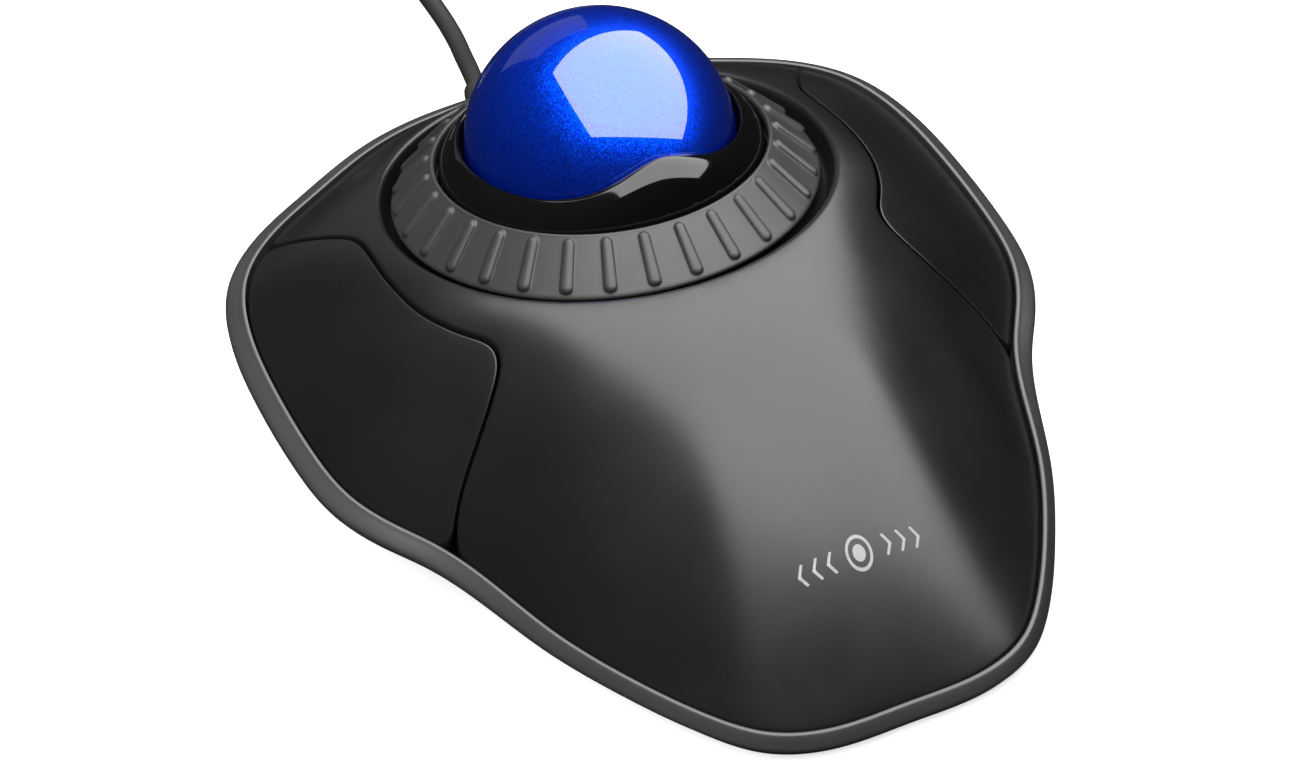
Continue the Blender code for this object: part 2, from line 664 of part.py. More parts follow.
def sensor():
    y = BALL_Y / MM
    on_board("sensor_chip", 0, y, (10.0, 9.0, 2.2), CHIP_BLACK, 0.2 * MM)
    rod("sensor_lens", (0, BALL_Y, BOARD_TOP + 2.8 * MM), (0, BALL_Y, 13.6 * MM), 4.2 * MM,
        CLEAR_PLASTIC, 24, 2.8 * MM)
    foot = BOARD_TOP + GAP
    rod("sensor_led", (0, BALL_Y - 9.5 * MM, foot), (0, BALL_Y - 9.5 * MM, foot + 5 * MM),
        1.5 * MM, LED_RED, 24, 1.2 * MM)


def small_parts():
    on_board("microcontroller", 0, 0, (9.0, 9.0, 1.4), CHIP_BLACK, 0.15 * MM)
    on_board("crystal", -13, 2, (4.6, 11.0, 3.4), STEEL, 0.8 * MM)
    on_board("cable_header", 0, -20, (12.0, 6.0, 5.5), CONNECTOR_WHITE, 0.3 * MM)
    foot = BOARD_TOP + GAP
    rod("capacitor", (13 * MM, 0, foot), (13 * MM, 0, foot + 6.5 * MM), 2.5 * MM, STEEL, 28)


def ring_encoder():
    """Light gate across the carrier's toothed skirt, on its own small board."""
    pieces = (
        ("encoder_emitter", (21.4, -2.2, -15.8), (23.8, 2.2, -12.2), CHIP_BLACK),
        ("encoder_detector", (26.0, -2.2, -15.8), (28.4, 2.2, -12.2), CHIP_BLACK),
        ("encoder_board", (20.6, -4.5, -17.3), (33.0, 4.5, -16.1), BOARD_GREEN),
    )
    for name, low, high, material in pieces:
        item = box(name, [v * MM for v in low], [v * MM for v in high], material)
        on_ring_axis(item)
    on_board("encoder_riser", 30.5, 26.5, (2.4, 7.0, 10.8), CONNECTOR_WHITE)


def screw(name, x, y, head_z, length, head_r, shank_r):
    """A screw driven up from below: its head's underside is at head_z."""
    profile = [(0.0, length), (shank_r * 0.55, length), (shank_r, length - 0.8 * MM),
               (shank_r, 0.65 * MM), (head_r, 0.65 * MM), (head_r, 0.1 * MM),
               (head_r - 0.1 * MM, 0.0), (0.0, 0.0)]
    item = turned(name, profile, STEEL, 12, closed=False)
    item.location = (x, y, head_z)
    return item


def screws():
    head_z = BASE_Z + 0.05 * MM
    for k, (x, y, top) in enumerate(both_sides(SHELL_SCREWS), 1):
        screw(f"case_screw_{k}", x, y, head_z, top + 5 * MM - head_z, 2.6 * MM, 1.0 * MM)
    for k, (x, y) in enumerate(CUP_LEGS, 1):
        screw(f"cup_screw_{k}", x, y, head_z, 9 * MM - head_z, 2.6 * MM, 1.0 * MM)
    for k, (x, y) in enumerate(BOARD_SCREWS, 1):
        item = screw(f"board_screw_{k}", x, y, BOARD_TOP + 1.0 * MM, 5.4 * MM, 1.9 * MM, 0.8 * MM)
        item.rotation_euler = (math.pi, 0, 0)


FEET = [(-19.0, -46.0), (19.0, -46.0), (-38.0, 24.0), (38.0, 24.0), (0.0, 51.5)]


def feet():
    for k, (x, y) in enumerate(FEET, 1):
        profile = [(0.0, 1.0), (5.6, 1.0), (6.0, 0.7), (5.7, 0.0), (0.0, 0.0)]
        item = turned(f"foot_pad_{k}", [(r * MM, z * MM) for r, z in profile], FOOT_RUBBER, 24,
                      closed=False)
        item.location = (x * MM, y * MM, 0)


# ---------------------------------------------------------------- cable and plug
def strain_relief():
    length = RELIEF_LENGTH
    profile = [(0.0, length), (1.9 * MM, length), (2.1 * MM, length - 1 * MM),
               (3.0 * MM, 10 * MM), (3.0 * MM, 1.4 * MM), (4.4 * MM, 1.4 * MM),
               (4.4 * MM, 0.0), (0.0, 0.0)]
    item = turned("cable_strain_relief", profile, CORD_BLACK, 20, closed=False)
    item.location = RELIEF_START
    item.rotation_euler = Vector(RELIEF_DIRECTION).to_track_quat("Z", "Y").to_euler()


def cable_run(name, route):
    curve = bpy.data.curves.new(name, "CURVE")
    curve.dimensions = "3D"
    curve.bevel_depth = CORD_R
    curve.bevel_resolution = 2
    curve.use_fill_caps = True
    points = open_spline(np.array(route) * MM, 5 * CORD_R)
    spline = curve.splines.new("POLY")
    spline.points.add(len(points) - 1)
    for point, (x, y, z) in zip(spline.points, points):
        point.co = (x, y, z, 1.0)
    item = bpy.data.objects.new(name, curve)
    PARTS.objects.link(item)
    curve.materials.append(CORD_BLACK)


def cable_coil():
    half = COIL_COLUMNS * CORD_R + 0.1 * MM
    inner, outer = COIL_MEAN_R - half, COIL_MEAN_R + half
    low, high = COIL_BASE, COIL_BASE + 2 * half
    soft = 1.2 * MM
    profile = [(inner + soft, high), (outer - soft, high), (outer, high - soft), (outer, low + soft),
               (outer - soft, low), (inner + soft, low), (inner, low + soft), (inner, high - soft)]
    item = turned("usb_cable_coil", profile, CORD_BLACK, 40)
    item.location = (*COIL_AT, 0)
    return inner, outer, high


def cable_tie(inner, outer, high):
    """A soft strap round the coil's bundle of turns, at its far side."""
    thick, half = 0.5 * MM, 2.5 * MM
    near = inner - 0.8 * MM      # the ring bends away inside the strap's width
    low, top = COIL_BASE - GAP, high + GAP
    strap = box("cable_tie", (near - thick, -half, low - thick), (outer + GAP + thick, half, top + thick),
                CHIP_BLACK)
    hole = box("tie_hole", (near, -2 * half, low), (outer + GAP, 2 * half, top), None)
    combine(strap, hole, "DIFFERENCE")
    for item in (strap, hole):
        item.matrix_world = Matrix.Translation((*COIL_AT, 0)) @ Matrix.Rotation(math.pi / 2, 4, "Z")


def usb_plug():
    x, y, z = PLUG_AT
    body = box("usb_plug_body", (x - 7.9 * MM, y, z - 3.8 * MM), (x + 7.9 * MM, y + 27.8 * MM, z + 3.8 * MM),
               CORD_BLACK, 1.2 * MM)
    front = y - GAP
    shell = box("usb_plug_shell", (x - 6.0 * MM, front - 11.7 * MM, z - 2.25 * MM),
                (x + 6.0 * MM, front, z + 2.25 * MM), STEEL)
    hollow = box("plug_hollow", (x - 5.7 * MM, front - 13 * MM, z - 1.95 * MM),
                 (x + 5.7 * MM, front - 0.6 * MM, z + 1.95 * MM), None)
    combine(shell, hollow, "DIFFERENCE")
    box("usb_plug_tongue", (x - 5.4 * MM, front - 11.2 * MM, z - 0.1 * MM),
        (x + 5.4 * MM, front - 0.9 * MM, z + 1.65 * MM), CONNECTOR_WHITE)
    return body


# ---------------------------------------------------------------- assembly
def build():
    bottom_case()
    top_shell()
    for side, word in ((-1, "left"), (1, "right")):
        button(side, word + "_button")
        hinge_pin(side, word + "_hinge_pin")
        click_switch(side, word + "_switch")
    scroll_ring()
    ring_carrier()
    bezel()
    ball_cup()
    for k in range(3):
        sphere(f"support_bearing_{k + 1}", bearing_centre(k), BEARING_R, CERAMIC, 12, 8)
    ball()
    circuit_board()
    sensor()
    small_parts()
    ring_encoder()
    screws()
    feet()
    strain_relief()
    cable_run("usb_cable_lead", LEAD_ROUTE)
    cable_tie(*cable_coil())
    cable_run("usb_cable_tail", TAIL_ROUTE)
    usb_plug()


build()
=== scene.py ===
"""Looks of a two-button finger trackball with a scroll ring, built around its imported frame.

Frame: metres, +Z up, +X to the user's right, +Y towards the cable; the palm rests at -Y.
"""

import json
import math

import bmesh
import bpy
import numpy as np
from mathutils import Matrix, Vector, geometry


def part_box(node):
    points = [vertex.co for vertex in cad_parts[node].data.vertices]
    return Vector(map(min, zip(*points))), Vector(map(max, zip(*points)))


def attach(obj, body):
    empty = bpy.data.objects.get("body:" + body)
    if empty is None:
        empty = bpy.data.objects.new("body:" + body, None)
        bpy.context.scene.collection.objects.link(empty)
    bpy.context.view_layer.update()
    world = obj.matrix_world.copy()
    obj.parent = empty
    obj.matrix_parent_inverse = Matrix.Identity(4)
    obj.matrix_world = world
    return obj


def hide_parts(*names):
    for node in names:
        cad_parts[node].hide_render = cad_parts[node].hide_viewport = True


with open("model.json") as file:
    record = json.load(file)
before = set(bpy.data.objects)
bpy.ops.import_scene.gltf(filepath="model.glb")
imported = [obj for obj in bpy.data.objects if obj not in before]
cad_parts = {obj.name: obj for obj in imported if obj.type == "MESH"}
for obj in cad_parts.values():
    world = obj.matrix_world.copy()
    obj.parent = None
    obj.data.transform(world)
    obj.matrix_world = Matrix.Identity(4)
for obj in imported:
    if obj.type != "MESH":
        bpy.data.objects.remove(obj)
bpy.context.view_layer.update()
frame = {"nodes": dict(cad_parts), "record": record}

MM = 0.001

# ---------------------------------------------------------------- dimensions shared with the part
BALL_R = 20.0 * MM
BALL_CENTRE = Vector((0, 29.4 * MM, 38.0 * MM))
RING_TILT = math.radians(11.4)   # ball, ring and bezel share one axis, leaning to +Y
RING_AXIS = Vector((0, math.sin(RING_TILT), math.cos(RING_TILT)))
RING_FRAME = Matrix.Translation(BALL_CENTRE) @ Matrix.Rotation(-RING_TILT, 4, "X")
RIBS = 30
RIB_PHASE = math.radians(4.7)

DECK_Z = 4.4 * MM
DECK_SLOPE = 0.13
PALM_END = -66.5 * MM
RIM_NARROW = 1.9 * MM
RIM_WIDE = 3.0 * MM
RIM_DROP = 2.2 * MM
BASE_Z = 1.3 * MM
FLOOR_Z = 2.7 * MM

LIP_R = 33.2 * MM
LIP_DROP = 6.0 * MM
LIP_SHIFT = 1.0 * MM
DOME_POWER = 1.42
PALM_FULLNESS = 0.65
PALM_WIDTH = 23.5 * MM
SHELL_WALL = 2.0 * MM
EDGE_DROP = 0.5 * MM
EDGE_GAP = 0.35 * MM
KEY_GAP = 0.45 * MM

CORD_R = 1.45 * MM
COIL_AT = (34.0 * MM, 141.0 * MM)
COIL_MEAN_R = 17.4 * MM
LAYER_TURNS = 3
COIL_LAYERS = 4

# Right half of the deck's outline, from the palm end round to the cable end, in mm.
OUTLINE = [(0, -63.95), (12.5, -63.5), (20.6, -60.4), (26.2, -54.8), (33.0, -44.6),
           (39.4, -31.8), (44.2, -17.6), (47.4, -10.6), (51.2, -4.6), (54.4, 2.4),
           (55.6, 12.0), (55.3, 25.0), (53.3, 38.2), (50.0, 45.6), (44.2, 51.2),
           (33.0, 57.0), (20.0, 62.2), (9.0, 63.9)]
OUTLINE_END = (0, 64.0)

# Edge of the right button, from beyond the rear corner, along the ring and out at the waist.
KEY_SEAM = [(52.0, 62.5), (44.0, 48.6), (39.2, 40.2), (37.6, 37.4), (36.9, 35.2), (37.1, 31.5),
            (37.8, 24.0), (37.3, 15.0), (34.9, 7.9), (31.9, 3.0), (31.3, 1.4), (31.5, -0.1),
            (32.6, -1.5), (36.6, -4.7), (41.6, -7.9), (44.4, -10.4), (46.2, -14.2), (48.2, -19.4)]

# Route of the cable: its lead to the coil, and its tail from the coil to the plug, in mm.
RELIEF_START = (-1.65, 55.3, 10.2)
RELIEF_DIRECTION = (0.27, 0.955, -0.12)
RELIEF_LENGTH = 28.1
LEAD_ROUTE = [(5.9, 81.2, 7.0), (6.3, 82.6, 6.8), (8.0, 88.4, 5.2), (9.7, 94.2, 3.2),
              (11.2, 100.0, 1.9), (12.0, 106.0, 1.5), (12.3, 113.0, 1.5), (12.3, 121.0, 1.6),
              (12.25, 128.5, 1.9)]
TAIL_ROUTE = [(11.4, 161.0, 8.2), (9.6, 169.5, 5.8), (4.8, 176.6, 4.3), (-2.0, 179.4, 3.9),
              (-8.2, 177.4, 3.9), (-11.4, 172.6, 3.9), (-12.0, 168.4, 3.9), (-12.0, 166.4, 3.9)]
PLUG_AT = (-12.0, 140.0, 3.9)


# ---------------------------------------------------------------- camera
CAMERA_AZIMUTH = math.radians(-27.73)    # 0 is straight in front of the palm end
CAMERA_ELEVATION = math.radians(41.87)
CAMERA_DISTANCE = 1.1482
CAMERA_TARGET = Vector((-6.84, 0.80, 15.0)) * MM
CAMERA_SENSOR = 36.0                     # mm
CAMERA_LENS = 219.3                      # mm


def link(item):
    """Put an object in the scene, unless it is there already."""
    if not item.users_collection:
        bpy.context.scene.collection.objects.link(item)
    return item


def add_camera():
    camera = link(bpy.data.objects.new("camera", bpy.data.cameras.new("camera")))
    flat = math.cos(CAMERA_ELEVATION)
    away = Vector((math.sin(CAMERA_AZIMUTH) * flat, -math.cos(CAMERA_AZIMUTH) * flat,
                   math.sin(CAMERA_ELEVATION)))
    camera.location = CAMERA_TARGET + away * CAMERA_DISTANCE
    camera.rotation_euler = (-away).to_track_quat("-Z", "Y").to_euler()
    camera.data.sensor_width = CAMERA_SENSOR
    camera.data.lens = CAMERA_LENS
    camera.data.clip_start = 0.01
    camera.data.clip_end = 50.0
    bpy.context.scene.camera = camera


# ---------------------------------------------------------------- materials
def node(tree, kind, inputs=None, **settings):
    """A new node; each input is a value or another node's socket."""
    item = tree.nodes.new(kind)
    for key, value in settings.items():
        setattr(item, key, value)
    for key, value in (inputs or {}).items():
        if isinstance(value, bpy.types.NodeSocket):
            tree.links.new(value, item.inputs[key])
        else:
            item.inputs[key].default_value = value
    return item


def mix_colours(tree, factor, first, second):
    """Blend two colours by a factor; a colour is three numbers or another node's socket."""
    mix = tree.nodes.new("ShaderNodeMix")
    mix.data_type = "RGBA"
    tree.links.new(factor, mix.inputs["Factor"])
    for name, value in (("A_Color", first), ("B_Color", second)):
        socket = next(s for s in mix.inputs if s.identifier == name)
        if isinstance(value, bpy.types.NodeSocket):
            tree.links.new(value, socket)
        else:
            socket.default_value = (*value, 1.0)
    return next(s for s in mix.outputs if s.identifier == "Result_Color")


def start_material(name, **shader_inputs):
    """A material, its tree, its shader and the coordinates of the piece itself."""
    material = bpy.data.materials.new(name)
    material.use_nodes = True
    tree = material.node_tree
    shader = tree.nodes["Principled BSDF"]
    for key, value in shader_inputs.items():
        shader.inputs[key.replace("_", " ")].default_value = value
    place = node(tree, "ShaderNodeTexCoord").outputs["Object"]
    return material, tree, shader, place


def add_noise(tree, place, scale, **settings):
    """The strength of a noise texture, from 0 to 1."""
    inputs = {"Vector": place, "Scale": scale, **settings}
    return node(tree, "ShaderNodeTexNoise", inputs).outputs["Fac"]


def add_bump(tree, shader, height, depth):
    """Bumps whose depth is in mm."""
    bump = node(tree, "ShaderNodeBump", {"Height": height, "Strength": 1.0, "Distance": depth * MM})
    tree.links.new(bump.outputs["Normal"], shader.inputs["Normal"])


def add_roughness(tree, shader, factor, middle, spread, low=0.0, high=1.0):
    """Roughness that strays from its middle by a share, as the factor goes from low to high."""
    rough = node(tree, "ShaderNodeMapRange", {"Value": factor, "From Min": low, "From Max": high,
                                              "To Min": middle * (1 - spread),
                                              "To Max": middle * (1 + spread)})
    tree.links.new(rough.outputs["Result"], shader.inputs["Roughness"])


def add_tint(tree, shader, factor, first, second, *sockets):
    """A base colour between two colours; other sockets of the shader may share it."""
    tint = mix_colours(tree, factor, first, second)
    for socket in ("Base Color", *sockets):
        tree.links.new(tint, shader.inputs[socket])


def scaled(colour, share):
    return [min(1.0, c * share) for c in colour]


def moulded(name, colour, roughness, grain=0.25, depth=0.02, **more):
    """Moulded plastic or rubber: a spark-eroded grain, and roughness that drifts a little.

    grain is the size of the grain and depth its height, both in mm."""
    material, tree, shader, place = start_material(name, **more)
    fine = add_noise(tree, place, 1.0 / (grain * MM), Detail=2.0, Roughness=0.6)
    add_bump(tree, shader, fine, depth)
    add_roughness(tree, shader, add_noise(tree, place, 60.0, Detail=3.0), roughness, 0.12, 0.3, 0.7)
    add_tint(tree, shader, fine, scaled(colour, 0.88), scaled(colour, 1.12))
    return material


def polished(name, colour, roughness=0.08, smear=0.01, **more):
    """Glossy moulded plastic: almost a mirror, with a faint unevenness of the mould, in mm."""
    material, tree, shader, place = start_material(name, **more)
    add_bump(tree, shader, add_noise(tree, place, 90.0, Detail=2.0), smear)
    haze = add_noise(tree, place, 240.0, Detail=4.0)
    add_roughness(tree, shader, haze, roughness, 0.4)
    add_tint(tree, shader, haze, scaled(colour, 0.9), colour)
    return material


def metal(name, colour, roughness):
    """Plated metal with fine brushing along X."""
    material, tree, shader, place = start_material(name, Metallic=1.0)
    stretch = node(tree, "ShaderNodeVectorMath", {0: place, 1: (400.0, 9000.0, 9000.0)},
                   operation="MULTIPLY")
    brush = add_noise(tree, stretch.outputs["Vector"], 1.0, Detail=3.0)
    add_roughness(tree, shader, brush, roughness, 0.3)
    add_bump(tree, shader, brush, 0.002)
    add_tint(tree, shader, brush, scaled(colour, 0.85), colour)
    return material


FLAKE = 0.13                # mm, size of the ball's metal flakes


def pearl_blue():
    """The ball: metal flakes that face every way, in blue resin under a clear gloss coat."""
    material, tree, shader, place = start_material("pearl_blue", Metallic=0.83, Roughness=0.32)
    shader.inputs["Specular Tint"].default_value = (0.05, 0.45, 1.0, 1.0)
    shader.inputs["Coat Weight"].default_value = 1.0
    shader.inputs["Coat Roughness"].default_value = 0.02
    shader.inputs["Coat IOR"].default_value = 1.75
    flakes = node(tree, "ShaderNodeTexVoronoi", {"Vector": place, "Scale": 1.0 / (FLAKE * MM)})
    lean = node(tree, "ShaderNodeVectorMath", {0: flakes.outputs["Color"], 1: (0.5, 0.5, 0.5)},
                operation="SUBTRACT")
    lean = node(tree, "ShaderNodeVectorMath", {0: lean.outputs["Vector"], "Scale": 0.2},
                operation="SCALE")
    face = node(tree, "ShaderNodeNewGeometry").outputs["Normal"]
    tilted = node(tree, "ShaderNodeVectorMath", {0: face, 1: lean.outputs["Vector"]},
                  operation="ADD")
    tilted = node(tree, "ShaderNodeVectorMath", {0: tilted.outputs["Vector"]},
                  operation="NORMALIZE")
    tree.links.new(tilted.outputs["Vector"], shader.inputs["Normal"])
    split = node(tree, "ShaderNodeSeparateColor", {"Color": flakes.outputs["Color"]})
    add_tint(tree, shader, split.outputs["Red"], (0.0, 0.018, 0.5), (0.0, 0.065, 0.88))
    return material


def clear_plastic():
    """The sensor's lens: clear, with a faint haze."""
    material, tree, shader, place = start_material("clear_plastic", Roughness=0.03,
                                                   Transmission_Weight=1.0, IOR=1.5)
    add_tint(tree, shader, add_noise(tree, place, 500.0), (0.86, 0.9, 0.92), (0.94, 0.96, 0.97))
    return material


def woven(name, colour, thread):
    """Hook-and-loop strap: a plain weave, its thread's width in mm."""
    material, tree, shader, place = start_material(name, Roughness=0.85, Sheen_Weight=0.3)
    waves = [node(tree, "ShaderNodeTexWave", {"Vector": place, "Scale": 1.0 / (6.28 * thread * MM),
                                              "Distortion": 0.4}, bands_direction=axis)
             for axis in ("Y", "Z")]
    height = node(tree, "ShaderNodeMath", {0: waves[0].outputs["Fac"], 1: waves[1].outputs["Fac"]},
                  operation="MULTIPLY")
    add_bump(tree, shader, height.outputs["Value"], 0.12)
    add_tint(tree, shader, height.outputs["Value"], scaled(colour, 0.6), colour)
    return material


# One material for each of the record's slots.
MATERIALS = {
    "rim_grey": moulded("rim_grey", (0.036, 0.038, 0.038), 0.34, grain=0.22, depth=0.004,
                        Specular_IOR_Level=0.6),
    "deck_black": moulded("deck_black", (0.0066, 0.0069, 0.0067), 0.31, grain=0.2, depth=0.012),
    "gloss_black": polished("gloss_black", (0.004, 0.004, 0.004), 0.06),
    "ring_rubber": moulded("ring_rubber", (0.0235, 0.024, 0.024), 0.46, grain=0.16, depth=0.006),
    "inner_plastic": moulded("inner_plastic", (0.02, 0.02, 0.022), 0.5),
    "ball_blue": pearl_blue(),
    "ceramic": polished("ceramic", (0.84, 0.83, 0.79), 0.1, 0.001),
    "board_green": moulded("board_green", (0.012, 0.12, 0.045), 0.35, grain=0.9, depth=0.03),
    "chip_black": moulded("chip_black", (0.018, 0.018, 0.019), 0.45, grain=0.08),
    "clear_plastic": clear_plastic(),
    "led_red": polished("led_red", (0.65, 0.03, 0.02), 0.08, 0.002, Transmission_Weight=0.5),
    "steel": metal("steel", (0.62, 0.62, 0.63), 0.24),
    "switch_red": moulded("switch_red", (0.5, 0.04, 0.03), 0.4),
    "connector_white": moulded("connector_white", (0.36, 0.36, 0.355), 0.45),
    "foot_rubber": moulded("foot_rubber", (0.02, 0.02, 0.02), 0.75, grain=0.3, depth=0.03),
    "cord_black": moulded("cord_black", (0.022, 0.022, 0.023), 0.42, grain=0.3, depth=0.008),
    "tie_black": woven("tie_black", (0.02, 0.02, 0.021), 0.35),
}


def dress_nodes():
    """Give every carried-over node the material of its slot."""
    for row in frame["record"]["subparts"]:
        mesh = frame["nodes"][row["node"]].data
        mesh.materials.clear()
        mesh.materials.append(MATERIALS[row["material_slot"]])


# ---------------------------------------------------------------- meshes
def place_piece(item, slot, body, replaced=()):
    """Put a new piece in the scene: its finish, the body it moves with and what it replaces."""
    link(item)
    item.data.materials.clear()
    item.data.materials.append(MATERIALS[slot])
    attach(item, body)
    if replaced:
        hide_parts(*replaced)
    return item


def smooth(mesh, sharp=40.0):
    """Shade a mesh smooth but for edges sharper than an angle in degrees."""
    mesh.shade_smooth()
    mesh.set_sharp_from_angle(angle=math.radians(sharp))


def new_item(name, bm, sharp=40.0):
    """A smooth mesh object from a bmesh, which is used up."""
    mesh = bpy.data.meshes.new(name)
    bm.to_mesh(mesh)
    bm.free()
    smooth(mesh, sharp)
    return bpy.data.objects.new(name, mesh)


def add_mesh(name, verts, faces, sharp=40.0, matrix=None):
    """A mesh object from points and faces, its faces turned out."""
    raw = bpy.data.meshes.new("raw")
    raw.from_pydata([tuple(map(float, v)) for v in verts], [], [tuple(map(int, f)) for f in faces])
    bm = bmesh.new()
    bm.from_mesh(raw)
    bpy.data.meshes.remove(raw)
    if matrix:
        bmesh.ops.transform(bm, matrix=matrix, verts=bm.verts)
    bmesh.ops.recalc_face_normals(bm, faces=bm.faces)
    return new_item(name, bm, sharp)


def strip(low, high):
    """Faces between two closed rings of vertex numbers."""
    return [(low[k], low[k - 1], high[k - 1], high[k]) for k in range(len(low))]


def skin(name, rings, closed=False, sharp=40.0, matrix=None):
    """Skin rings of equally many points, joining the last to the first, or with a cap on each."""
    count = len(rings[0])
    rows = [range(k * count, (k + 1) * count) for k in range(len(rings))]
    faces = []
    for low, high in zip(rows, rows[1:] + (rows[:1] if closed else [])):
        faces += strip(low, high)
    if not closed:
        faces += [tuple(rows[0]), tuple(rows[-1])]
    return add_mesh(name, np.concatenate(rings), faces, sharp, matrix)


def rounded(points, step=15.0):
    """A profile with round corners: each point is (across, along, corner radius), in mm."""
    corners = [np.array(p[:2], float) for p in points]
    radii = [p[2] if len(p) > 2 else 0.0 for p in points]
    out = []
    for k, (corner, radius) in enumerate(zip(corners, radii)):
        before, after = corners[k - 1], corners[(k + 1) % len(corners)]
        if not radius:
            out.append(tuple(corner))
            continue
        u = (before - corner) / np.linalg.norm(before - corner)
        w = (after - corner) / np.linalg.norm(after - corner)
        half = math.acos(max(-1.0, min(1.0, float(u @ w)))) / 2
        reach = radius / math.tan(half)
        middle = corner + (u + w) / np.linalg.norm(u + w) * radius / math.sin(half)
        first, last = corner + u * reach, corner + w * reach
        a = math.atan2(*(first - middle)[::-1])
        sweep = (math.atan2(*(last - middle)[::-1]) - a + math.pi) % (2 * math.pi) - math.pi
        steps = max(2, round(abs(math.degrees(sweep)) / step))
        for t in np.linspace(0, 1, steps + 1):
            out.append((middle[0] + radius * math.cos(a + sweep * t),
                        middle[1] + radius * math.sin(a + sweep * t)))
    return out


def turned(name, profile, steps, matrix, sharp=40.0, closed=False):
    """Turn a profile of (radius, height), in mm, about Z. If it isn't closed, caps are added."""
    angles = np.linspace(0, 2 * math.pi, steps, endpoint=False)
    rings = [np.stack([r * MM * np.cos(angles), r * MM * np.sin(angles), np.full(steps, z * MM)], 1)
             for r, z in profile]
    return skin(name, rings, closed, sharp, matrix)


def block(name, low, high, radius, segments=3, matrix=None):
    """A box with rounded edges; corners and radius are in mm."""
    bm = bmesh.new()
    centre = Matrix.Translation([(a + b) / 2 * MM for a, b in zip(low, high)])
    size = Matrix.Diagonal((*((b - a) * MM for a, b in zip(low, high)), 1))
    bmesh.ops.create_cube(bm, size=1.0, matrix=centre @ size)
    if radius:
        bmesh.ops.bevel(bm, geom=bm.edges, offset=radius * MM, segments=segments, affect="EDGES",
                        profile=0.5)
    if matrix:
        bmesh.ops.transform(bm, matrix=matrix, verts=bm.verts)
    return new_item(name, bm)


def subtract(item, cutter):
    """Cut one mesh out of another and keep the result as item's own mesh."""
    link(item)
    link(cutter)
    boolean = item.modifiers.new("cut", "BOOLEAN")
    boolean.operation = "DIFFERENCE"
    boolean.solver = "EXACT"
    boolean.object = cutter
    bpy.context.view_layer.update()
    graph = bpy.context.evaluated_depsgraph_get()
    mesh = bpy.data.meshes.new_from_object(item.evaluated_get(graph))
    item.modifiers.clear()
    item.data = mesh
    bpy.data.objects.remove(cutter)
    smooth(mesh)
    return item


def joined(name, items):
    """Several meshes as one object."""
    bm = bmesh.new()
    for item in items:
        bm.from_mesh(item.data)
        bpy.data.objects.remove(item)
    return new_item(name, bm)


# ---------------------------------------------------------------- curves
def resample(points, spacing, closed):
    """Points at equal steps along a polyline."""
    line = np.vstack([points, points[:1]]) if closed else points
    run = np.concatenate([[0], np.cumsum(np.linalg.norm(np.diff(line, axis=0), axis=1))])
    count = max(2, round(run[-1] / spacing))
    at = np.linspace(0, run[-1], count, endpoint=not closed)
    return np.stack([np.interp(at, run, line[:, k]) for k in range(line.shape[1])], axis=1)


def closed_spline(points, spacing):
    """Points along a smooth closed curve through the given points."""
    knots = np.array(points, float)
    n = len(knots)
    step = np.linalg.norm(np.roll(knots, -1, 0) - knots, axis=1)
    before = np.roll(step, 1)
    system = np.zeros((n, n))
    right = np.zeros((n, 2))
    for k in range(n):
        last, after = (k - 1) % n, (k + 1) % n
        system[k, last] += step[k]
        system[k, k] += 2 * (before[k] + step[k])
        system[k, after] += before[k]
        right[k] = 3 * (step[k] * (knots[k] - knots[last]) / before[k]
                        + before[k] * (knots[after] - knots[k]) / step[k])
    slope = np.linalg.solve(system, right)
    fine = []
    for k in range(n):
        after = (k + 1) % n
        for t in np.linspace(0, 1, 60, endpoint=False):
            fine.append((1 + 2 * t) * (1 - t) ** 2 * knots[k]
                        + t * (1 - t) ** 2 * step[k] * slope[k]
                        + t * t * (3 - 2 * t) * knots[after]
                        + t * t * (t - 1) * step[k] * slope[after])
    return resample(np.array(fine), spacing, True)


def open_spline(points, spacing):
    """Points about spacing apart on a smooth curve through the given points."""
    knots = np.array(points, float)
    ends = np.vstack([2 * knots[0] - knots[1], knots, 2 * knots[-1] - knots[-2]])
    fine = []
    for a, b, c, d in zip(ends, ends[1:], ends[2:], ends[3:]):
        for t in np.linspace(0, 1, 30, endpoint=False):
            fine.append(0.5 * (2 * b + (c - a) * t + (2 * a - 5 * b + 4 * c - d) * t * t
                               + (3 * b - a - 3 * c + d) * t ** 3))
    return resample(np.array(fine + [knots[-1]]), spacing, False)


def normals_of(loop, closed=True):
    """Unit normals on the left of a plan curve's direction of travel."""
    if closed:
        along = np.roll(loop, -1, 0) - np.roll(loop, 1, 0)
    else:
        along = np.gradient(loop, axis=0)
    along /= np.linalg.norm(along, axis=1, keepdims=True)
    return np.stack([-along[:, 1], along[:, 0]], axis=1)


def soften(loop, spacing):
    """Round the corners of a closed curve and space its points evenly."""
    for _ in range(4):
        loop = resample(loop, spacing, True)
        for _ in range(4):
            loop = 0.5 * loop + 0.25 * (np.roll(loop, 1, 0) + np.roll(loop, -1, 0))
    return resample(loop, spacing, True)


def is_inside(points, loop):
    """Which of the plan points lie inside a closed curve."""
    x, y = points[:, 0][:, None], points[:, 1][:, None]
    ax, ay = loop[:, 0], loop[:, 1]
    bx, by = np.roll(ax, -1), np.roll(ay, -1)
    spans = (ay > y) != (by > y)
    rise = np.where(by == ay, 1e-12, by - ay)
    crosses = spans & (x < (bx - ax) * (y - ay) / rise + ax)
    return crosses.sum(axis=1) % 2 == 1


def distance_to(points, loop):
    """Distance from each point to the nearest of a loop's points."""
    return np.min(np.linalg.norm(points[:, None, :] - loop[None, :, :], axis=2), axis=1)


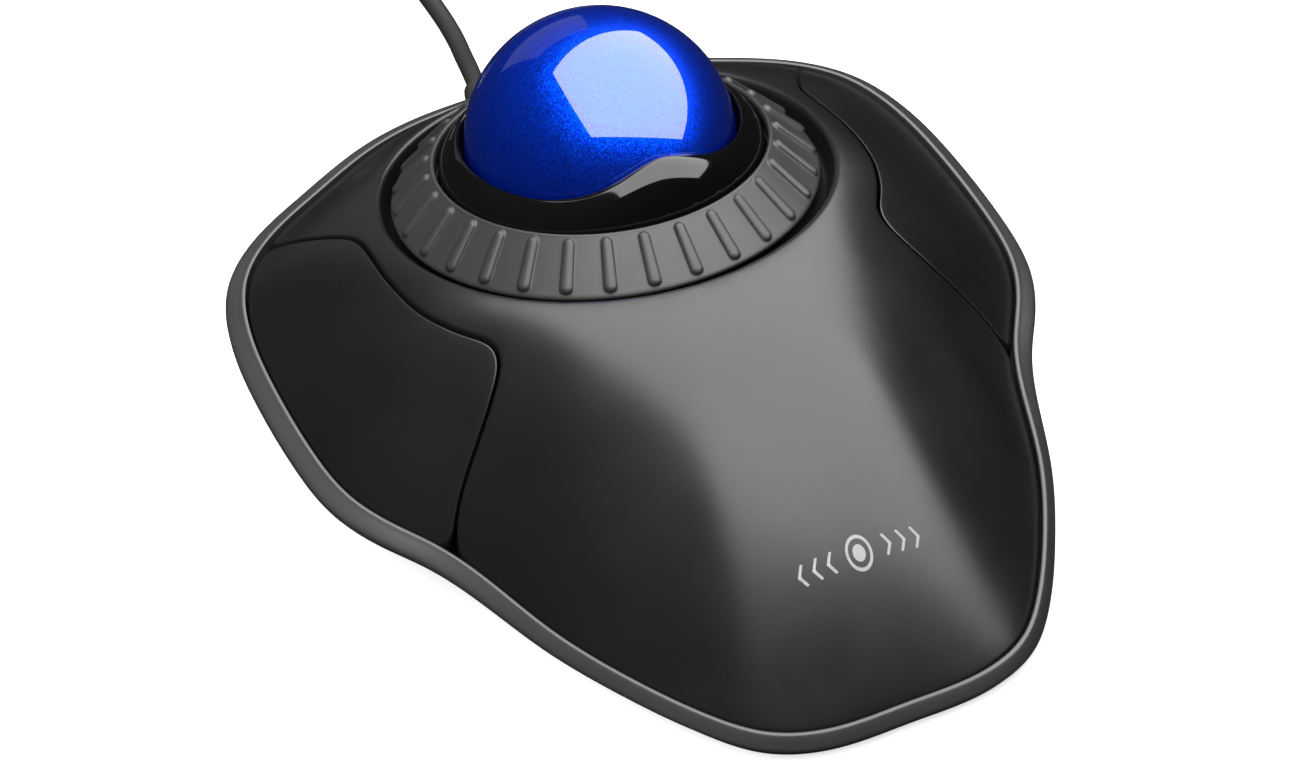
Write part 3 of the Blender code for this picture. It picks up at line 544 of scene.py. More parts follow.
# ---------------------------------------------------------------- the deck's surface
LEFT_HALF = [(-x, y) for x, y in OUTLINE[:0:-1]]
RIM_LINE = closed_spline([*OUTLINE, OUTLINE_END, *LEFT_HALF], 0.7) * MM
RIM_NORMAL = -normals_of(RIM_LINE)
DECK_EDGE = RIM_LINE - RIM_NORMAL * EDGE_GAP
PALMWARD = Vector((0, -math.cos(RING_TILT), math.sin(RING_TILT)))
LIP_CENTRE = BALL_CENTRE - RING_AXIS * LIP_DROP + PALMWARD * LIP_SHIFT


def lip_height(y):
    """Height of the rim's lip, which climbs towards the cable end."""
    return DECK_Z + DECK_SLOPE * (y - PALM_END)


def edge_table():
    """The deck's edge as distance and height for each direction from the recess's centre."""
    x, y = DECK_EDGE[:, 0], DECK_EDGE[:, 1] - LIP_CENTRE.y
    angle = np.arctan2(y, x)
    order = np.argsort(angle)
    return (angle[order], np.hypot(x, y)[order],
            (lip_height(RIM_LINE[:, 1]) - EDGE_DROP)[order])


EDGE_ANGLE, EDGE_REACH, EDGE_HEIGHT = edge_table()


def deck_height(points):
    """Height of the deck's surface at plan points: a dome between the recess and the rim."""
    x, y = points[:, 0], points[:, 1] - LIP_CENTRE.y
    angle, reach = np.arctan2(y, x), np.hypot(x, y)
    inner = LIP_R / np.hypot(np.cos(angle), np.sin(angle) / math.cos(RING_TILT))
    outer = np.interp(angle, EDGE_ANGLE, EDGE_REACH, period=2 * math.pi)
    low = np.interp(angle, EDGE_ANGLE, EDGE_HEIGHT, period=2 * math.pi)
    high = LIP_CENTRE.z - inner * np.sin(angle) * math.tan(RING_TILT)
    share = np.clip((reach - inner) / (outer - inner), 0.0, 1.02)
    palm = np.clip(-np.sin(angle), 0.0, 1.0) * np.exp(-((x / PALM_WIDTH) ** 2))
    return high + (low - high) * share ** (DOME_POWER + PALM_FULLNESS * palm)


def recess_ring(angles, radius, drop, shift=0.0):
    """A circle square to the ring's axis, at plan angles about the recess's centre."""
    centre = BALL_CENTRE - RING_AXIS * drop + PALMWARD * shift
    reach = radius / np.hypot(np.cos(angles), np.sin(angles) / math.cos(RING_TILT))
    dy = reach * np.sin(angles)
    return np.stack([reach * np.cos(angles), centre.y + dy,
                     centre.z - dy * math.tan(RING_TILT)], axis=1)


PLAN_STEP = 1.3 * MM        # spacing of the deck's inner points
LOOP_STEP = 0.55 * MM       # spacing of points along a piece's edge
KEY_ROUND = 0.32 * MM       # radius of the edges along a seam
LIP_ROUND = 1.1 * MM        # radius of the edge round the recess
RECESS_STEPS = 400          # points round the recess


def lift(plan, drop=0.0):
    """Plan points on the deck's surface, or below it by a drop."""
    return np.column_stack([plan, deck_height(plan) - drop])


def is_between(points, loops):
    """Which of the plan points lie inside the first loop and outside the others."""
    keep = is_inside(points, loops[0])
    for hole in loops[1:]:
        keep &= ~is_inside(points, hole)
    return keep


def triangulate(loops, more=()):
    """Fill the plan region between an outer loop and any holes, through more points inside."""
    points = np.concatenate([*loops, *more])
    edges, start = [], 0
    for loop in loops:
        edges += [(start + k, start + (k + 1) % len(loop)) for k in range(len(loop))]
        start += len(loop)
    result = geometry.delaunay_2d_cdt([Vector(p * 1000) for p in points], edges, [], 0, 1e-5)
    source = [first[0] for first in result[3]]
    faces = [tuple(source[v] for v in face) for face in result[2]]
    keep = is_between(np.array([points[list(face)].mean(axis=0) for face in faces]), loops)
    return points, [face for face, kept in zip(faces, keep) if kept]


def fill_plan(loops):
    """Triangulate the plan region between an outer loop and any holes, at even spacing."""
    outer = loops[0]
    low, high = outer.min(axis=0), outer.max(axis=0)
    rows = []
    for k, y in enumerate(np.arange(low[1], high[1], PLAN_STEP * 0.866)):
        x = np.arange(low[0] + (k % 2) * PLAN_STEP / 2, high[0], PLAN_STEP)
        rows.append(np.stack([x, np.full(len(x), y)], axis=1))
    grid = np.concatenate(rows)
    grid = grid[is_between(grid, loops)]
    grid = grid[distance_to(grid, np.concatenate(loops)) > PLAN_STEP * 0.55]
    return triangulate(loops, [grid])


def deck_piece(name, loop, has_recess):
    """One piece of the deck: its top, rounded edges, walls and underside, closed."""
    verts, count = [], 0

    def add(ring):
        nonlocal count
        verts.append(ring)
        count += len(ring)
        return list(range(count - len(ring), count))

    def edge_rings(line, way, radius):
        """Rings from the wall, round the edge and onto the top."""
        out = []
        for turn in (90, 72, 54, 36, 18):
            s, c = math.sin(math.radians(turn)), math.cos(math.radians(turn))
            out.append(lift(line + way * radius * (1 - s), radius * (1 - c)))
        return out, line + way * radius

    around, top_loop = edge_rings(loop, normals_of(loop), KEY_ROUND)
    wall = [add(lift(loop, SHELL_WALL))] + [add(ring) for ring in around]
    loops = [top_loop]
    if has_recess:
        angles = np.linspace(0, 2 * math.pi, RECESS_STEPS, endpoint=False)
        lip = recess_ring(angles, LIP_R, LIP_DROP, LIP_SHIFT)[:, :2]
        rolled, hole = edge_rings(lip, -normals_of(lip), LIP_ROUND)
        # Each ring of the recess is (radius, drop, shift) in mm.
        steps = [(34.6, 11.0, 0.0), (26.3, 11.0, 0.0), (26.3, 9.6, 0.0), (31.9, 9.6, 0.5),
                 (32.3, 9.4, 0.5), (32.6, 8.9, 0.6), (32.9, 8.0, 0.8)]
        recess = [recess_ring(angles, *(value * MM for value in step)) for step in steps]
        ways = [add(ring) for ring in recess + rolled]
        loops.append(hole)
    plan, triangles = fill_plan(loops)
    top = add(lift(plan))
    under = add(lift(plan, SHELL_WALL))
    faces = [tuple(top[v] for v in face) for face in triangles]
    faces += [tuple(under[v] for v in face[::-1]) for face in triangles]
    for low, high in zip(wall, wall[1:] + [top[:len(loop)]]):
        faces += strip(low, high)
    faces += strip(under[:len(loop)], wall[0])
    if has_recess:
        first, last = len(loop), len(loop) + RECESS_STEPS
        for low, high in zip(ways, ways[1:] + [top[first:last]]):
            faces += strip(low, high)
        faces += strip(under[first:last], ways[0])
    return add_mesh(name, np.concatenate(verts), faces, sharp=50)


def key_seam(gap):
    """The right button's seam in plan, moved towards the shell by a gap."""
    line = open_spline(KEY_SEAM, 0.4) * MM
    return line + normals_of(line, closed=False) * gap * -1.0


def crossings(line):
    """The stretch of a seam inside the deck's edge, and the edge points where it leaves."""
    kept = line[is_inside(line, DECK_EDGE)]
    ends = [int(np.argmin(np.linalg.norm(DECK_EDGE - kept[k], axis=1))) for k in (0, -1)]
    return kept, ends


def mirrored(line):
    """A plan curve on the other side, travelling the same way round."""
    return (line * [-1, 1])[::-1]


def key_loop():
    """Plan outline of the right button, anticlockwise."""
    seam, (rear, waist) = crossings(key_seam(0.0))
    loop = np.concatenate([DECK_EDGE[waist:rear + 1], seam])
    return soften(loop, LOOP_STEP)


def shell_loop():
    """Plan outline of the top shell, anticlockwise, with the buttons' windows cut out."""
    seam, (rear, waist) = crossings(key_seam(KEY_GAP))
    count = len(DECK_EDGE)
    loop = np.concatenate([DECK_EDGE[:waist + 1], seam[::-1], DECK_EDGE[rear:count - rear],
                           mirrored(seam[::-1]), DECK_EDGE[count - waist:]])
    return soften(loop, LOOP_STEP)


def build_deck():
    shell = deck_piece("top_shell_skin", shell_loop(), True)
    place_piece(shell, "deck_black", "case", ["top_shell"])
    right = key_loop()
    for word, loop in (("right", right), ("left", mirrored(right))):
        key = deck_piece(word + "_button_skin", loop, False)
        place_piece(key, "deck_black", word + "_key", [word + "_button"])


# ---------------------------------------------------------------- bottom case and rim
FASTENERS = [(24, -36), (-24, -36), (33, 46), (-33, 46), (0, 46.4), (14.7, 20.9), (-14.7, 20.9)]
SCREW_NODES = [f"case_screw_{k}" for k in (1, 2, 3, 4)] + [f"cup_screw_{k}" for k in (1, 2, 3)]
FEET = [(-19.0, -46.0), (19.0, -46.0), (-38.0, 24.0), (38.0, 24.0), (0.0, 51.5)]
RELIEF_FRAME = (Matrix.Translation(Vector(RELIEF_START) * MM)
                @ Vector(RELIEF_DIRECTION).to_track_quat("Z", "Y").to_matrix().to_4x4())
AXIS = 0.01                 # mm, radius where a turned profile starts and ends


def rim_ring(offset, height):
    """A ring round the body; offset and height are arrays, or single values, in metres."""
    plan = RIM_LINE + RIM_NORMAL * np.broadcast_to(offset, len(RIM_LINE))[:, None]
    return np.column_stack([plan, np.broadcast_to(height, len(RIM_LINE))])


def build_case():
    y = RIM_LINE[:, 1]
    lip = lip_height(y)
    widest = lip - RIM_DROP
    share = np.clip(1 + y / (45 * MM), 0.0, 1.0)
    width = RIM_NARROW + (RIM_WIDE - RIM_NARROW) * share * share * (3 - 2 * share)
    foot = np.maximum(1.7 * MM - 0.8 * (widest - 2 * MM), -5.8 * MM)
    flank = 0.35 * foot + 0.65 * width - 0.1 * MM
    ledge = lip - np.minimum(3.2 * MM, 0.6 * (lip - FLOOR_Z))
    rings = [rim_ring(foot - 1.6 * MM, BASE_Z), rim_ring(foot - 1.0 * MM, BASE_Z + 0.15 * MM)]
    # The hull leans out from its foot, and turns out under the rim.
    for up, out in ((0.15, -0.12), (0.3, 0.0), (0.47, 0.3), (0.64, 0.62), (0.78, 0.95)):
        rings.append(rim_ring(foot + (flank - foot) * out, BASE_Z + up * (widest - BASE_Z)))
    for turn in range(15, 91, 15):
        c, s = math.cos(math.radians(turn)), math.sin(math.radians(turn))
        rings.append(rim_ring(flank + (width - flank) * s,
                              BASE_Z + (1 - 0.18 * c) * (widest - BASE_Z)))
    # The rim's sloping face ends in a crisp lip along the deck.
    rings += [rim_ring(width - inset * MM, lip - down * MM)
              for inset, down in ((0.03, 1.97), (0.1, 1.76), (0.22, 1.56))]
    for part in (0.25, 0.5, 0.75, 1.0):
        rings.append(rim_ring((width - 0.22 * MM) * (1 - part) + 0.78 * MM * part,
                              lip - (1.56 - 1.36 * part - 0.2 * part * (1 - part)) * MM))
    rings += [rim_ring(out * MM, lip - down * MM)
              for out, down in ((0.66, 0.08), (0.5, 0.0), (0.22, -0.02), (0.05, 0.08), (0.0, 0.3))]
    rings += [rim_ring(0.0, ledge), rim_ring(foot - 2.4 * MM, FLOOR_Z)]
    case = skin("bottom_case_skin", rings, sharp=45)
    seat = BASE_Z / MM + 0.8
    well = [(AXIS, -1.0), (3.0, -1.0), (3.0, seat), (1.5, seat), (1.5, 8.0), (AXIS, 8.0)]
    cutters = [turned("well", well, 40, Matrix.Translation((x * MM, y * MM, 0)))
               for x, y in FASTENERS]
    bore = [(AXIS, 1.0), (3.4, 1.0), (3.4, 16.0), (AXIS, 16.0)]
    cutters.append(turned("bore", bore, 48, RELIEF_FRAME))
    subtract(case, joined("case_cutters", cutters))
    place_piece(case, "rim_grey", "case", ["bottom_case"])


def build_screws():
    """Cross-head screws, their heads facing down in the wells of the case."""
    for name, (x, y) in zip(SCREW_NODES, FASTENERS):
        low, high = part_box(name)
        length = (high.z - low.z) / MM
        profile = rounded([(AXIS, 0, 0), (2.6, 0, 0.35), (2.6, 0.65, 0.1), (1.0, 0.65, 0),
                           (1.0, length - 0.8, 0), (0.5, length, 0), (AXIS, length, 0)])
        place = Matrix.Translation((x * MM, y * MM, low.z))
        screw = turned(name + "_fine", profile, 40, place)
        turn = Matrix.Rotation(0.6 * x + 0.2 * y, 4, "Z")    # no two screws stop alike
        for a, b in ((1.5, 0.28), (0.28, 1.5)):
            subtract(screw, block("slot", (-a, -b, -0.5), (a, b, 0.45), 0, matrix=place @ turn))
        place_piece(screw, "steel", "case", [name])


def build_feet():
    """Round rubber feet with a shallow dish in the middle."""
    profile = rounded([(AXIS, 0.15, 0), (3.6, 0.15, 0.1), (3.9, 0.0, 0.1), (5.75, 0.0, 0.3),
                       (6.0, 0.7, 0.2), (5.6, 1.0, 0.1), (AXIS, 1.0, 0)])
    for k, (x, y) in enumerate(FEET, 1):
        foot = turned(f"foot_pad_{k}_fine", profile, 72, Matrix.Translation((x * MM, y * MM, 0)))
        place_piece(foot, "foot_rubber", "case", [f"foot_pad_{k}"])


# ---------------------------------------------------------------- scroll ring
RIB_HALF = 0.95             # mm, half the width of a rib at the middle of the ring's face
RIB_HEIGHT = 0.72           # mm
RIB_MID_R = 28.2            # mm, radius at which a rib has that width
RIB_FIRST, RIB_LAST = 1.45, 7.85   # mm down the face, centres of a rib's round ends


def rib_lift(across, beyond):
    """Height of a rib at a place given in half widths from its line and past its end."""
    d = np.hypot(across, beyond)
    body = np.sqrt(np.clip(1 - np.minimum(d, 1.0) ** 2.3, 0, 1))
    fillet = 0.06 * np.clip((1.3 - d) / 0.3, 0, 1) ** 2
    return RIB_HEIGHT * np.maximum(body, fillet)


def build_scroll_ring():
    """A grey conical ring with one capsule-shaped rib in each of its thirty pitches."""
    half = [0, 0.2, 0.4, 0.58, 0.74, 0.86, 0.94, 1.0, 1.06, 1.16, 1.3, 1.7, 2.3]
    gap = math.pi / RIBS * RIB_MID_R / RIB_HALF
    across = np.array([-v for v in half[:0:-1]] + half + [gap])
    top = np.array([24.95, -0.85])
    bottom = np.array([31.45, -7.35])
    length = float(np.linalg.norm(bottom - top))
    way = (bottom - top) / length
    out = np.array([-way[1], way[0]])
    if out[0] < 0:
        out = -out
    near = [1 - math.cos(t) for t in np.linspace(0, math.pi / 2, 7)]
    ends = [RIB_HALF * 1.3, RIB_HALF * 1.12] + [RIB_HALF * (1 - v) for v in near]
    downs = [0.25, 0.5] + [RIB_FIRST - v for v in ends if RIB_FIRST - v > 0.55]
    downs += list(np.linspace(RIB_FIRST + 0.6, RIB_LAST - 0.6, 7))
    downs += [RIB_LAST + v for v in ends[::-1] if RIB_LAST + v < length - 0.2]
    # A thin rounded lip runs round the top, and the foot rolls under.
    profile = [(24.45, -2.9, None), (24.45, -1.35, None), (24.5, -1.12, None), (24.62, -0.96, None),
               (24.78, -0.86, None), (24.95, -0.85, None), (25.1, -0.93, None), (25.2, -1.06, None)]
    profile += [(*(top + way * d), d) for d in downs]
    profile += [(31.42, -7.4, None), (31.5, -7.55, None), (31.5, -7.75, None), (31.4, -7.95, None),
                (31.2, -8.08, None), (30.9, -8.1, None), (29.8, -8.1, None)]
    rings = []
    for radius, height, down in profile:
        ring = []
        for k in range(RIBS):
            angles = RIB_PHASE + 2 * math.pi * k / RIBS + across * RIB_HALF / RIB_MID_R
            lift_by = 0.0
            if down is not None:
                past = max(RIB_FIRST - down, down - RIB_LAST, 0.0) / RIB_HALF
                lift_by = rib_lift(across, past)
            reach = (radius + lift_by * out[0]) * MM
            rise = (height + lift_by * out[1]) * MM
            ring.append(np.stack([reach * np.cos(angles), reach * np.sin(angles),
                                  np.broadcast_to(rise, len(angles))], axis=1))
        rings.append(np.concatenate(ring))
    ring = skin("scroll_ring_ribbed", rings, closed=True, sharp=70, matrix=RING_FRAME)
    place_piece(ring, "ring_rubber", "scroll_wheel", ["scroll_ring"])


# ---------------------------------------------------------------- bezel and ball
SOCKET_R = 20.6             # mm, inside of the bezel
BEZEL_R = 23.95             # mm, outside of the bezel, inside the scroll ring


def degrees_from_front(angle):
    """How far a direction about the ring's axis is from the palm side."""
    return math.degrees(math.acos(max(-1.0, min(1.0, -math.sin(angle)))))


def bezel_crest(from_front):
    """Height in mm of the bezel's lip: low at the sides, one smooth wave at the palm side."""
    back = min(1.0, max(0.0, (from_front - 50.0) / 50.0))
    return 2.1 + 4.7 * math.exp(-((from_front / 27.0) ** 1.8)) + 0.4 * back * back * (3 - 2 * back)


def bezel_fullness(from_front):
    """Power of the flank's curve: 2 is a quarter ellipse, and near 1 is almost a cone."""
    return 1.3 + 0.7 * math.exp(-((from_front / 38.0) ** 4))


def socket_radius(height):
    """Inside radius in mm; above its middle the socket follows the ball."""
    return math.sqrt(SOCKET_R ** 2 - max(0.0, height) ** 2)


def bezel_profile(from_front):
    """(radius, height) in mm from the outer foot over the round lip to the inner foot."""
    crest, power = bezel_crest(from_front), 2.0 / bezel_fullness(from_front)
    foot, shoulder, lip_low = -4.3, -1.6, crest - 0.5
    top = socket_radius(crest) + 0.5
    points = [(BEZEL_R, foot), (BEZEL_R, shoulder - 0.6)]
    for turn in np.radians(np.linspace(0, 90, 30)):
        c, s = abs(math.cos(turn)) ** power, math.sin(turn) ** power
        points.append((top + (BEZEL_R - top) * c, shoulder + (crest - shoulder) * s))
    lip_in = socket_radius(lip_low) + 0.02
    for turn in np.linspace(15, 90, 6):
        c, s = math.cos(math.radians(turn)), math.sin(math.radians(turn))
        points.append((lip_in + (top - lip_in) * (1 - s), lip_low + (crest - lip_low) * c))
    for share in (0.85, 0.7, 0.55, 0.4, 0.25, 0.1):
        height = lip_low * share
        points.append((socket_radius(height), height))
    return points + [(SOCKET_R, -0.6), (SOCKET_R, foot)]


def build_bezel():
    """The glossy collar: its profile changes with the direction from the palm side."""
    angles = np.linspace(0, 2 * math.pi, 288, endpoint=False)
    profiles = np.array([bezel_profile(degrees_from_front(a)) for a in angles]) * MM
    rings = [np.stack([radius * np.cos(angles), radius * np.sin(angles), height], axis=1)
             for radius, height in profiles.transpose(1, 2, 0)]
    bezel = skin("bezel_gloss", rings, closed=True, sharp=60, matrix=RING_FRAME)
    place_piece(bezel, "gloss_black", "case", ["bezel"])


def build_ball():
    bm = bmesh.new()
    bmesh.ops.create_icosphere(bm, subdivisions=6, radius=BALL_R,
                               matrix=Matrix.Translation(BALL_CENTRE))
    place_piece(new_item("ball_polished", bm), "ball_blue", "ball", ["ball"])


# ---------------------------------------------------------------- cable
LAYER_Z = 2.1               # mm, centre of the coil's lowest turns


def coil_points():
    """Four flat spirals one on another, wound in, out, in and out; in mm."""
    pitch = 2 * CORD_R / MM
    outer = COIL_MEAN_R / MM + 1.5 * pitch
    inner = outer - LAYER_TURNS * pitch
    change = 120                # degrees of turn in which the cable climbs to the next layer
    points, turned_by = [], 180.0
    for layer in range(COIL_LAYERS):
        start, end = (outer, inner) if layer % 2 == 0 else (inner, outer)
        for step in range(0, LAYER_TURNS * 360 + 1, 15):
            share = step / (LAYER_TURNS * 360)
            angle = math.radians(turned_by - step)
            points.append((start + (end - start) * share, angle, LAYER_Z + layer * pitch))
        turned_by -= LAYER_TURNS * 360
        if layer < COIL_LAYERS - 1:
            for step in range(15, change, 15):
                angle = math.radians(turned_by - step)
                points.append((end, angle, LAYER_Z + (layer + step / change) * pitch))
            turned_by -= change
    x, y = (value / MM for value in COIL_AT)
    return [(x + r * math.cos(a), y + r * math.sin(a), z) for r, a, z in points]


def build_cable():
    """The whole cable as one curve; gives the curve, its route and its length in metres."""
    route = open_spline(LEAD_ROUTE + coil_points() + TAIL_ROUTE, 1.45) * MM
    curve = bpy.data.curves.new("usb_cable", "CURVE")
    curve.dimensions = "3D"
    curve.bevel_depth = CORD_R
    curve.bevel_resolution = 4
    curve.use_fill_caps = True
    spline = curve.splines.new("POLY")
    spline.points.add(len(route) - 1)
    spline.points.foreach_set("co", np.column_stack([route, np.ones(len(route))]).ravel())
    spline.use_smooth = True
    cable = bpy.data.objects.new("usb_cable", curve)
    place_piece(cable, "cord_black", "case", ["usb_cable_lead", "usb_cable_coil", "usb_cable_tail"])
    length = float(np.sum(np.linalg.norm(np.diff(route, axis=0), axis=1)))
    return cable, route, length


def build_strain_relief():
    """A soft tapered sleeve with a flange inside the case and grooves that let it bend."""
    end = RELIEF_LENGTH
    profile = [(1.35, 0.0, 0), (4.4, 0.0, 0.2), (4.4, 1.4, 0.2), (3.0, 1.4, 0.2), (3.0, 11.4, 0.2)]
    for z in (12.0, 14.3, 16.6, 18.9, 21.2, 23.5):
        wide = 3.0 - 0.9 * (z - 10.0) / (end - 11.0)
        profile += [(wide - 0.5, z - 0.35, 0.15), (wide - 0.5, z + 0.35, 0.15),
                    (wide, z + 0.6, 0.15), (wide - 0.1, z + 1.7, 0.15)]
    profile += [(2.1, end - 1.0, 0.4), (1.95, end, 0.25), (1.5, end, 0.05), (1.42, end - 1.5, 0)]
    relief = turned("strain_relief_ribbed", rounded(profile, 30), 48, RELIEF_FRAME, 50, closed=True)
    return place_piece(relief, "cord_black", "case", ["cable_strain_relief"])


def build_tie():
    """A strap with round corners that wraps the coil's bundle of turns, its end lapped on top."""
    half = 4 * CORD_R / MM
    mean = COIL_MEAN_R / MM
    low, high = LAYER_Z - CORD_R / MM - 0.08, LAYER_Z + half * 2 - CORD_R / MM + 0.1
    near, far = mean - half - 0.5, mean + half + 0.15
    thick, wide = 0.45, 2.5
    outline = rounded([(near, low, 1.6), (far, low, 1.6), (far, high, 1.6), (near, high, 1.6)], 15)
    line = resample(np.array(outline), 0.4, True)
    out = -normals_of(line)
    turn = Matrix.Translation((*COIL_AT, 0)) @ Matrix.Rotation(math.pi / 2, 4, "Z")
    rings = []
    for across, off in ((-wide, 0), (-wide, thick), (-wide + 0.15, thick + 0.1),
                        (wide - 0.15, thick + 0.1), (wide, thick), (wide, 0)):
        edge = (line + out * off) * MM
        rings.append(np.column_stack([edge[:, 0], np.full(len(edge), across * MM), edge[:, 1]]))
    strap = skin("coil_strap", rings, closed=True, sharp=50, matrix=turn)
    lap = block("lap", (mean - 3.2, -wide, high + 0.5), (mean + 3.0, wide, high + 1.0), 0.2,
                matrix=turn)
    return place_piece(joined("coil_strap", [strap, lap]), "tie_black", "case", ["cable_tie"])


def build_plug():
    """USB-A plug: grooved body, hollow shell with two windows, tongue and four contacts."""
    place = Matrix.Translation(Vector(PLUG_AT) * MM)
    body = block("usb_plug_moulding", (-7.9, 0, -3.8), (7.9, 27.8, 3.8), 1.3, 4, place)
    for side in (1, -1):
        for k in range(4):
            groove = block("groove", (-4.6, 8.0 + 2.6 * k, 3.4), (4.6, 9.1 + 2.6 * k, 4.4), 0.2, 2,
                           place @ Matrix.Rotation(math.pi * (side < 0), 4, "Y"))
            subtract(body, groove)
    place_piece(body, "cord_black", "case", ["usb_plug_body"])
    shell = block("usb_plug_shell_fine", (-6.0, -12.0, -2.25), (6.0, -0.3, 2.25), 0.45, 3, place)
    subtract(shell, block("hollow", (-5.7, -13.0, -1.95), (5.7, -0.6, 1.95), 0.3, 2, place))
    for x in (-2.9, 2.9):
        subtract(shell, block("window", (x - 1.1, -6.4, -3), (x + 1.1, -4.2, 3), 0, 0, place))
    place_piece(shell, "steel", "case", ["usb_plug_shell"])
    tongue = block("usb_plug_tongue_fine", (-5.4, -11.5, -0.1), (5.4, -1.2, 1.65), 0.15, 2, place)
    place_piece(tongue, "connector_white", "case", ["usb_plug_tongue"])
    pins = [block("pin", (c - w, -11.2, -0.28), (c + w, -3.4, -0.05), 0.05, 1, place)
            for c, w in ((-3.5, 0.6), (-1.0, 0.5), (1.0, 0.5), (3.5, 0.6))]
    contacts = place_piece(joined("usb_plug_contacts", pins), "steel", "case")
    return [body, shell, tongue, contacts]


# ---------------------------------------------------------------- generic mark on the palm rest
def print_on_deck(name, outlines):
    """Flat printed shapes laid on the deck's curve; outlines are closed plan curves in mm."""
    verts, faces, count = [], [], 0
    for loops in outlines:
        loops = [np.array(loop, float) * MM for loop in loops]
        plan, triangles = triangulate(loops)
        verts.append(lift(plan, -0.02 * MM))
        faces += [tuple(count + v for v in face) for face in triangles]
        count += len(plan)
    mesh = bpy.data.meshes.new(name)
    points = np.concatenate(verts)
    mesh.from_pydata([tuple(map(float, p)) for p in points], [], faces)
    mesh.shade_smooth()
    return bpy.data.objects.new(name, mesh)


def circle(centre, radius, steps):
    turns = np.radians(np.linspace(0, 355, steps))
    return [(centre[0] + radius * math.cos(t), centre[1] + radius * math.sin(t)) for t in turns]


def build_mark():
    """A small printed pictogram: a dot in a ring, with three chevrons on each side."""
    x, y = 0.5, -48.5
    shapes = [[circle((x, y), 0.95, 36)], [circle((x, y), 2.0, 48), circle((x, y), 1.6, 48)]]
    for side in (1, -1):
        for distance in (4.6, 6.9, 9.2):
            tip = x + side * (distance + 0.6)
            back = x + side * (distance - 0.3)
            chevron = [(tip, y), (back, y + 1.2), (back - side * 0.45, y + 1.2),
                       (tip - side * 0.5, y), (back - side * 0.45, y - 1.2), (back, y - 1.2)]
            shapes.append([resample(np.array(chevron), 0.3, True)])
    mark = print_on_deck("printed_pictogram", shapes)
    place_piece(mark, "connector_white", "case")


# ---------------------------------------------------------------- stage
# Gloss sees one softbox, close above the ball; a second one, further off and to the left,
# lights the rest. Each has its direction and distance from the ball.
SHINE_AT = Vector((0.196, 0.030, 0.980))
SHINE_AXES = (Vector((0.902, 0.037, -0.430)), Vector((0.042, 0.984, 0.173)))
SHINE_DISTANCE = 0.25
GLOW_AT = Vector((-0.287, 0.05, 0.957))
GLOW_AXES = (Vector((0.958, 0.0, 0.287)), Vector((0.0, 1.0, 0.0)))
GLOW_DISTANCE = 0.85
SOFTBOX_SHARE = 2.1         # a softbox's side as a share of its distance
DOME_R = 8.0                # beyond any camera
FLOOR_HALF = 2.5


def add_area(name, location, axes, size, radiance, soft_only=False, gloss_only=False):
    """A rectangular light that shines along -Z of its axes, with a brightness in W/m2/sr."""
    light = bpy.data.lights.new(name, "AREA")
    light.shape = "RECTANGLE"
    light.size, light.size_y = size
    light.energy = radiance * math.pi * size[0] * size[1]
    item = link(bpy.data.objects.new(name, light))
    x = axes[0].normalized()
    z = x.cross(axes[1]).normalized()
    turn = Matrix((x, z.cross(x), z)).transposed()
    item.matrix_world = Matrix.Translation(location) @ turn.to_4x4()
    item.visible_camera = False
    item.visible_glossy = not soft_only
    item.visible_diffuse = not gloss_only


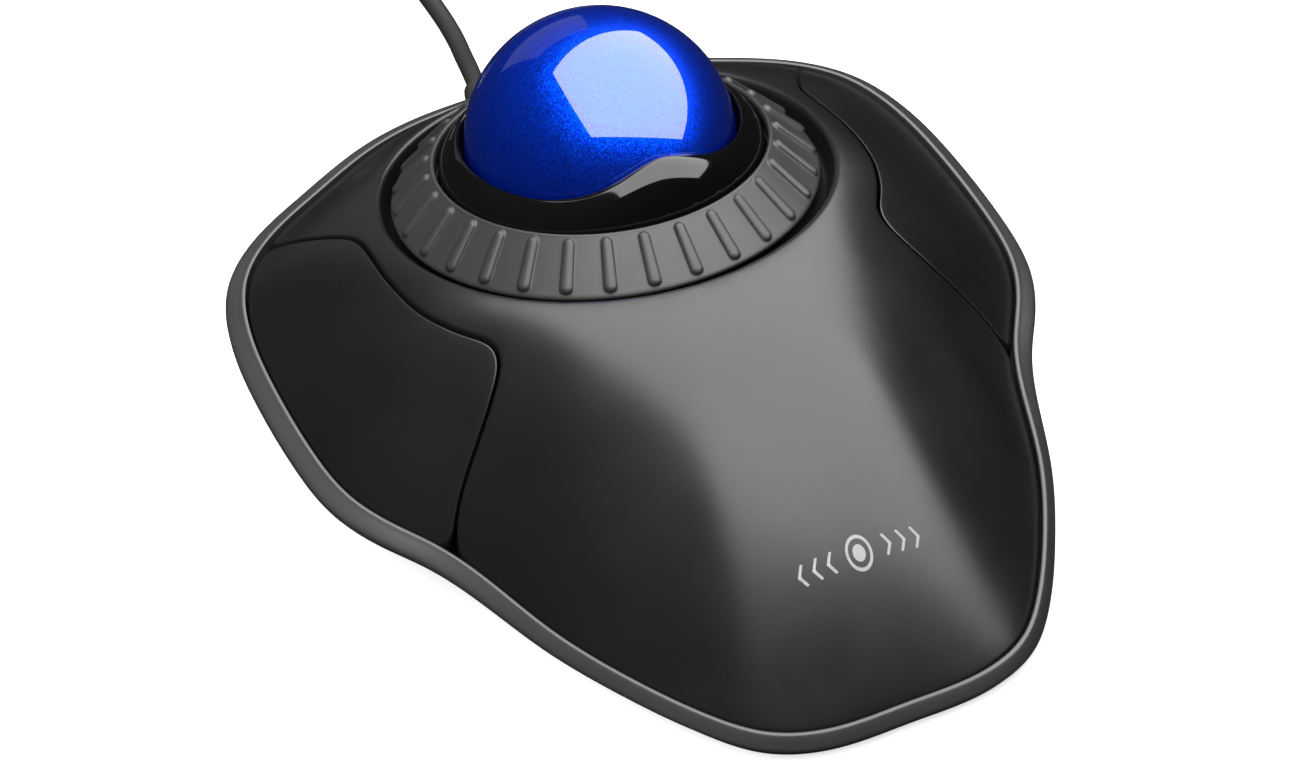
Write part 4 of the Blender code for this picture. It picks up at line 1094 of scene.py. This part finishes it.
def add_dome():
    """A white wall round everything that only the camera sees, so that low views stay pale."""
    bm = bmesh.new()
    bmesh.ops.create_uvsphere(bm, u_segments=48, v_segments=24, radius=DOME_R)
    dome = link(new_item("dome", bm))
    material, tree, shader, place = start_material("dome_white", Emission_Strength=1.0,
                                                   Base_Color=(0.0, 0.0, 0.0, 1.0))
    tint = mix_colours(tree, add_noise(tree, place, 1.0), (0.99, 0.99, 0.99), (1.0, 1.0, 1.0))
    tree.links.new(tint, shader.inputs["Emission Color"])
    dome.data.materials.append(material)
    for ray in ("diffuse", "glossy", "transmission", "volume_scatter", "shadow"):
        setattr(dome, "visible_" + ray, False)


def add_floor():
    """A pale floor that glows a little, and that sends no light back."""
    bm = bmesh.new()
    bmesh.ops.create_grid(bm, x_segments=1, y_segments=1, size=FLOOR_HALF)
    floor = link(new_item("floor", bm))
    material, tree, shader, place = start_material("floor_white", Roughness=0.6,
                                                   Emission_Strength=0.75)
    add_tint(tree, shader, add_noise(tree, place, 3.0), (0.86, 0.86, 0.86), (0.88, 0.88, 0.88),
             "Emission Color")
    floor.data.materials.append(material)
    floor.visible_glossy = False
    floor.visible_diffuse = False


def add_stage():
    """Floor, dome, two softboxes and a backdrop, under an almost dark sky."""
    add_floor()
    add_dome()
    for name, at, axes, distance, radiance, ray in (
            ("softbox_glow", GLOW_AT, GLOW_AXES, GLOW_DISTANCE, 3.4, "soft_only"),
            ("softbox_shine", SHINE_AT, SHINE_AXES, SHINE_DISTANCE, 5.4, "gloss_only")):
        side = SOFTBOX_SHARE * distance
        add_area(name, BALL_CENTRE + at * distance, axes, (side, side), radiance, **{ray: True})
    # A dim panel behind faces the object, and is seen in the far side of the ball.
    facing = (Vector((-1.0, 0.0, 0.0)), Vector((0.0, 0.0, 1.0)))
    add_area("backdrop", Vector((0.05, 1.13, 0.4)), facing, (0.76, 0.65), 0.24, gloss_only=True)
    world = bpy.data.worlds.new("studio")
    bpy.context.scene.world = world
    world.use_nodes = True
    sky = world.node_tree.nodes["Background"]
    sky.inputs["Color"].default_value = (1.0, 1.0, 1.0, 1.0)
    sky.inputs["Strength"].default_value = 0.02
    bpy.context.scene.view_settings.view_transform = "Standard"


# ---------------------------------------------------------------- assembly
def build():
    add_camera()
    dress_nodes()
    cable, route, length = build_cable()
    with_cable = [build_strain_relief(), build_tie(), *build_plug()]
    build_deck()
    build_case()
    build_screws()
    build_feet()
    build_scroll_ring()
    build_bezel()
    build_ball()
    build_mark()
    add_stage()


build()
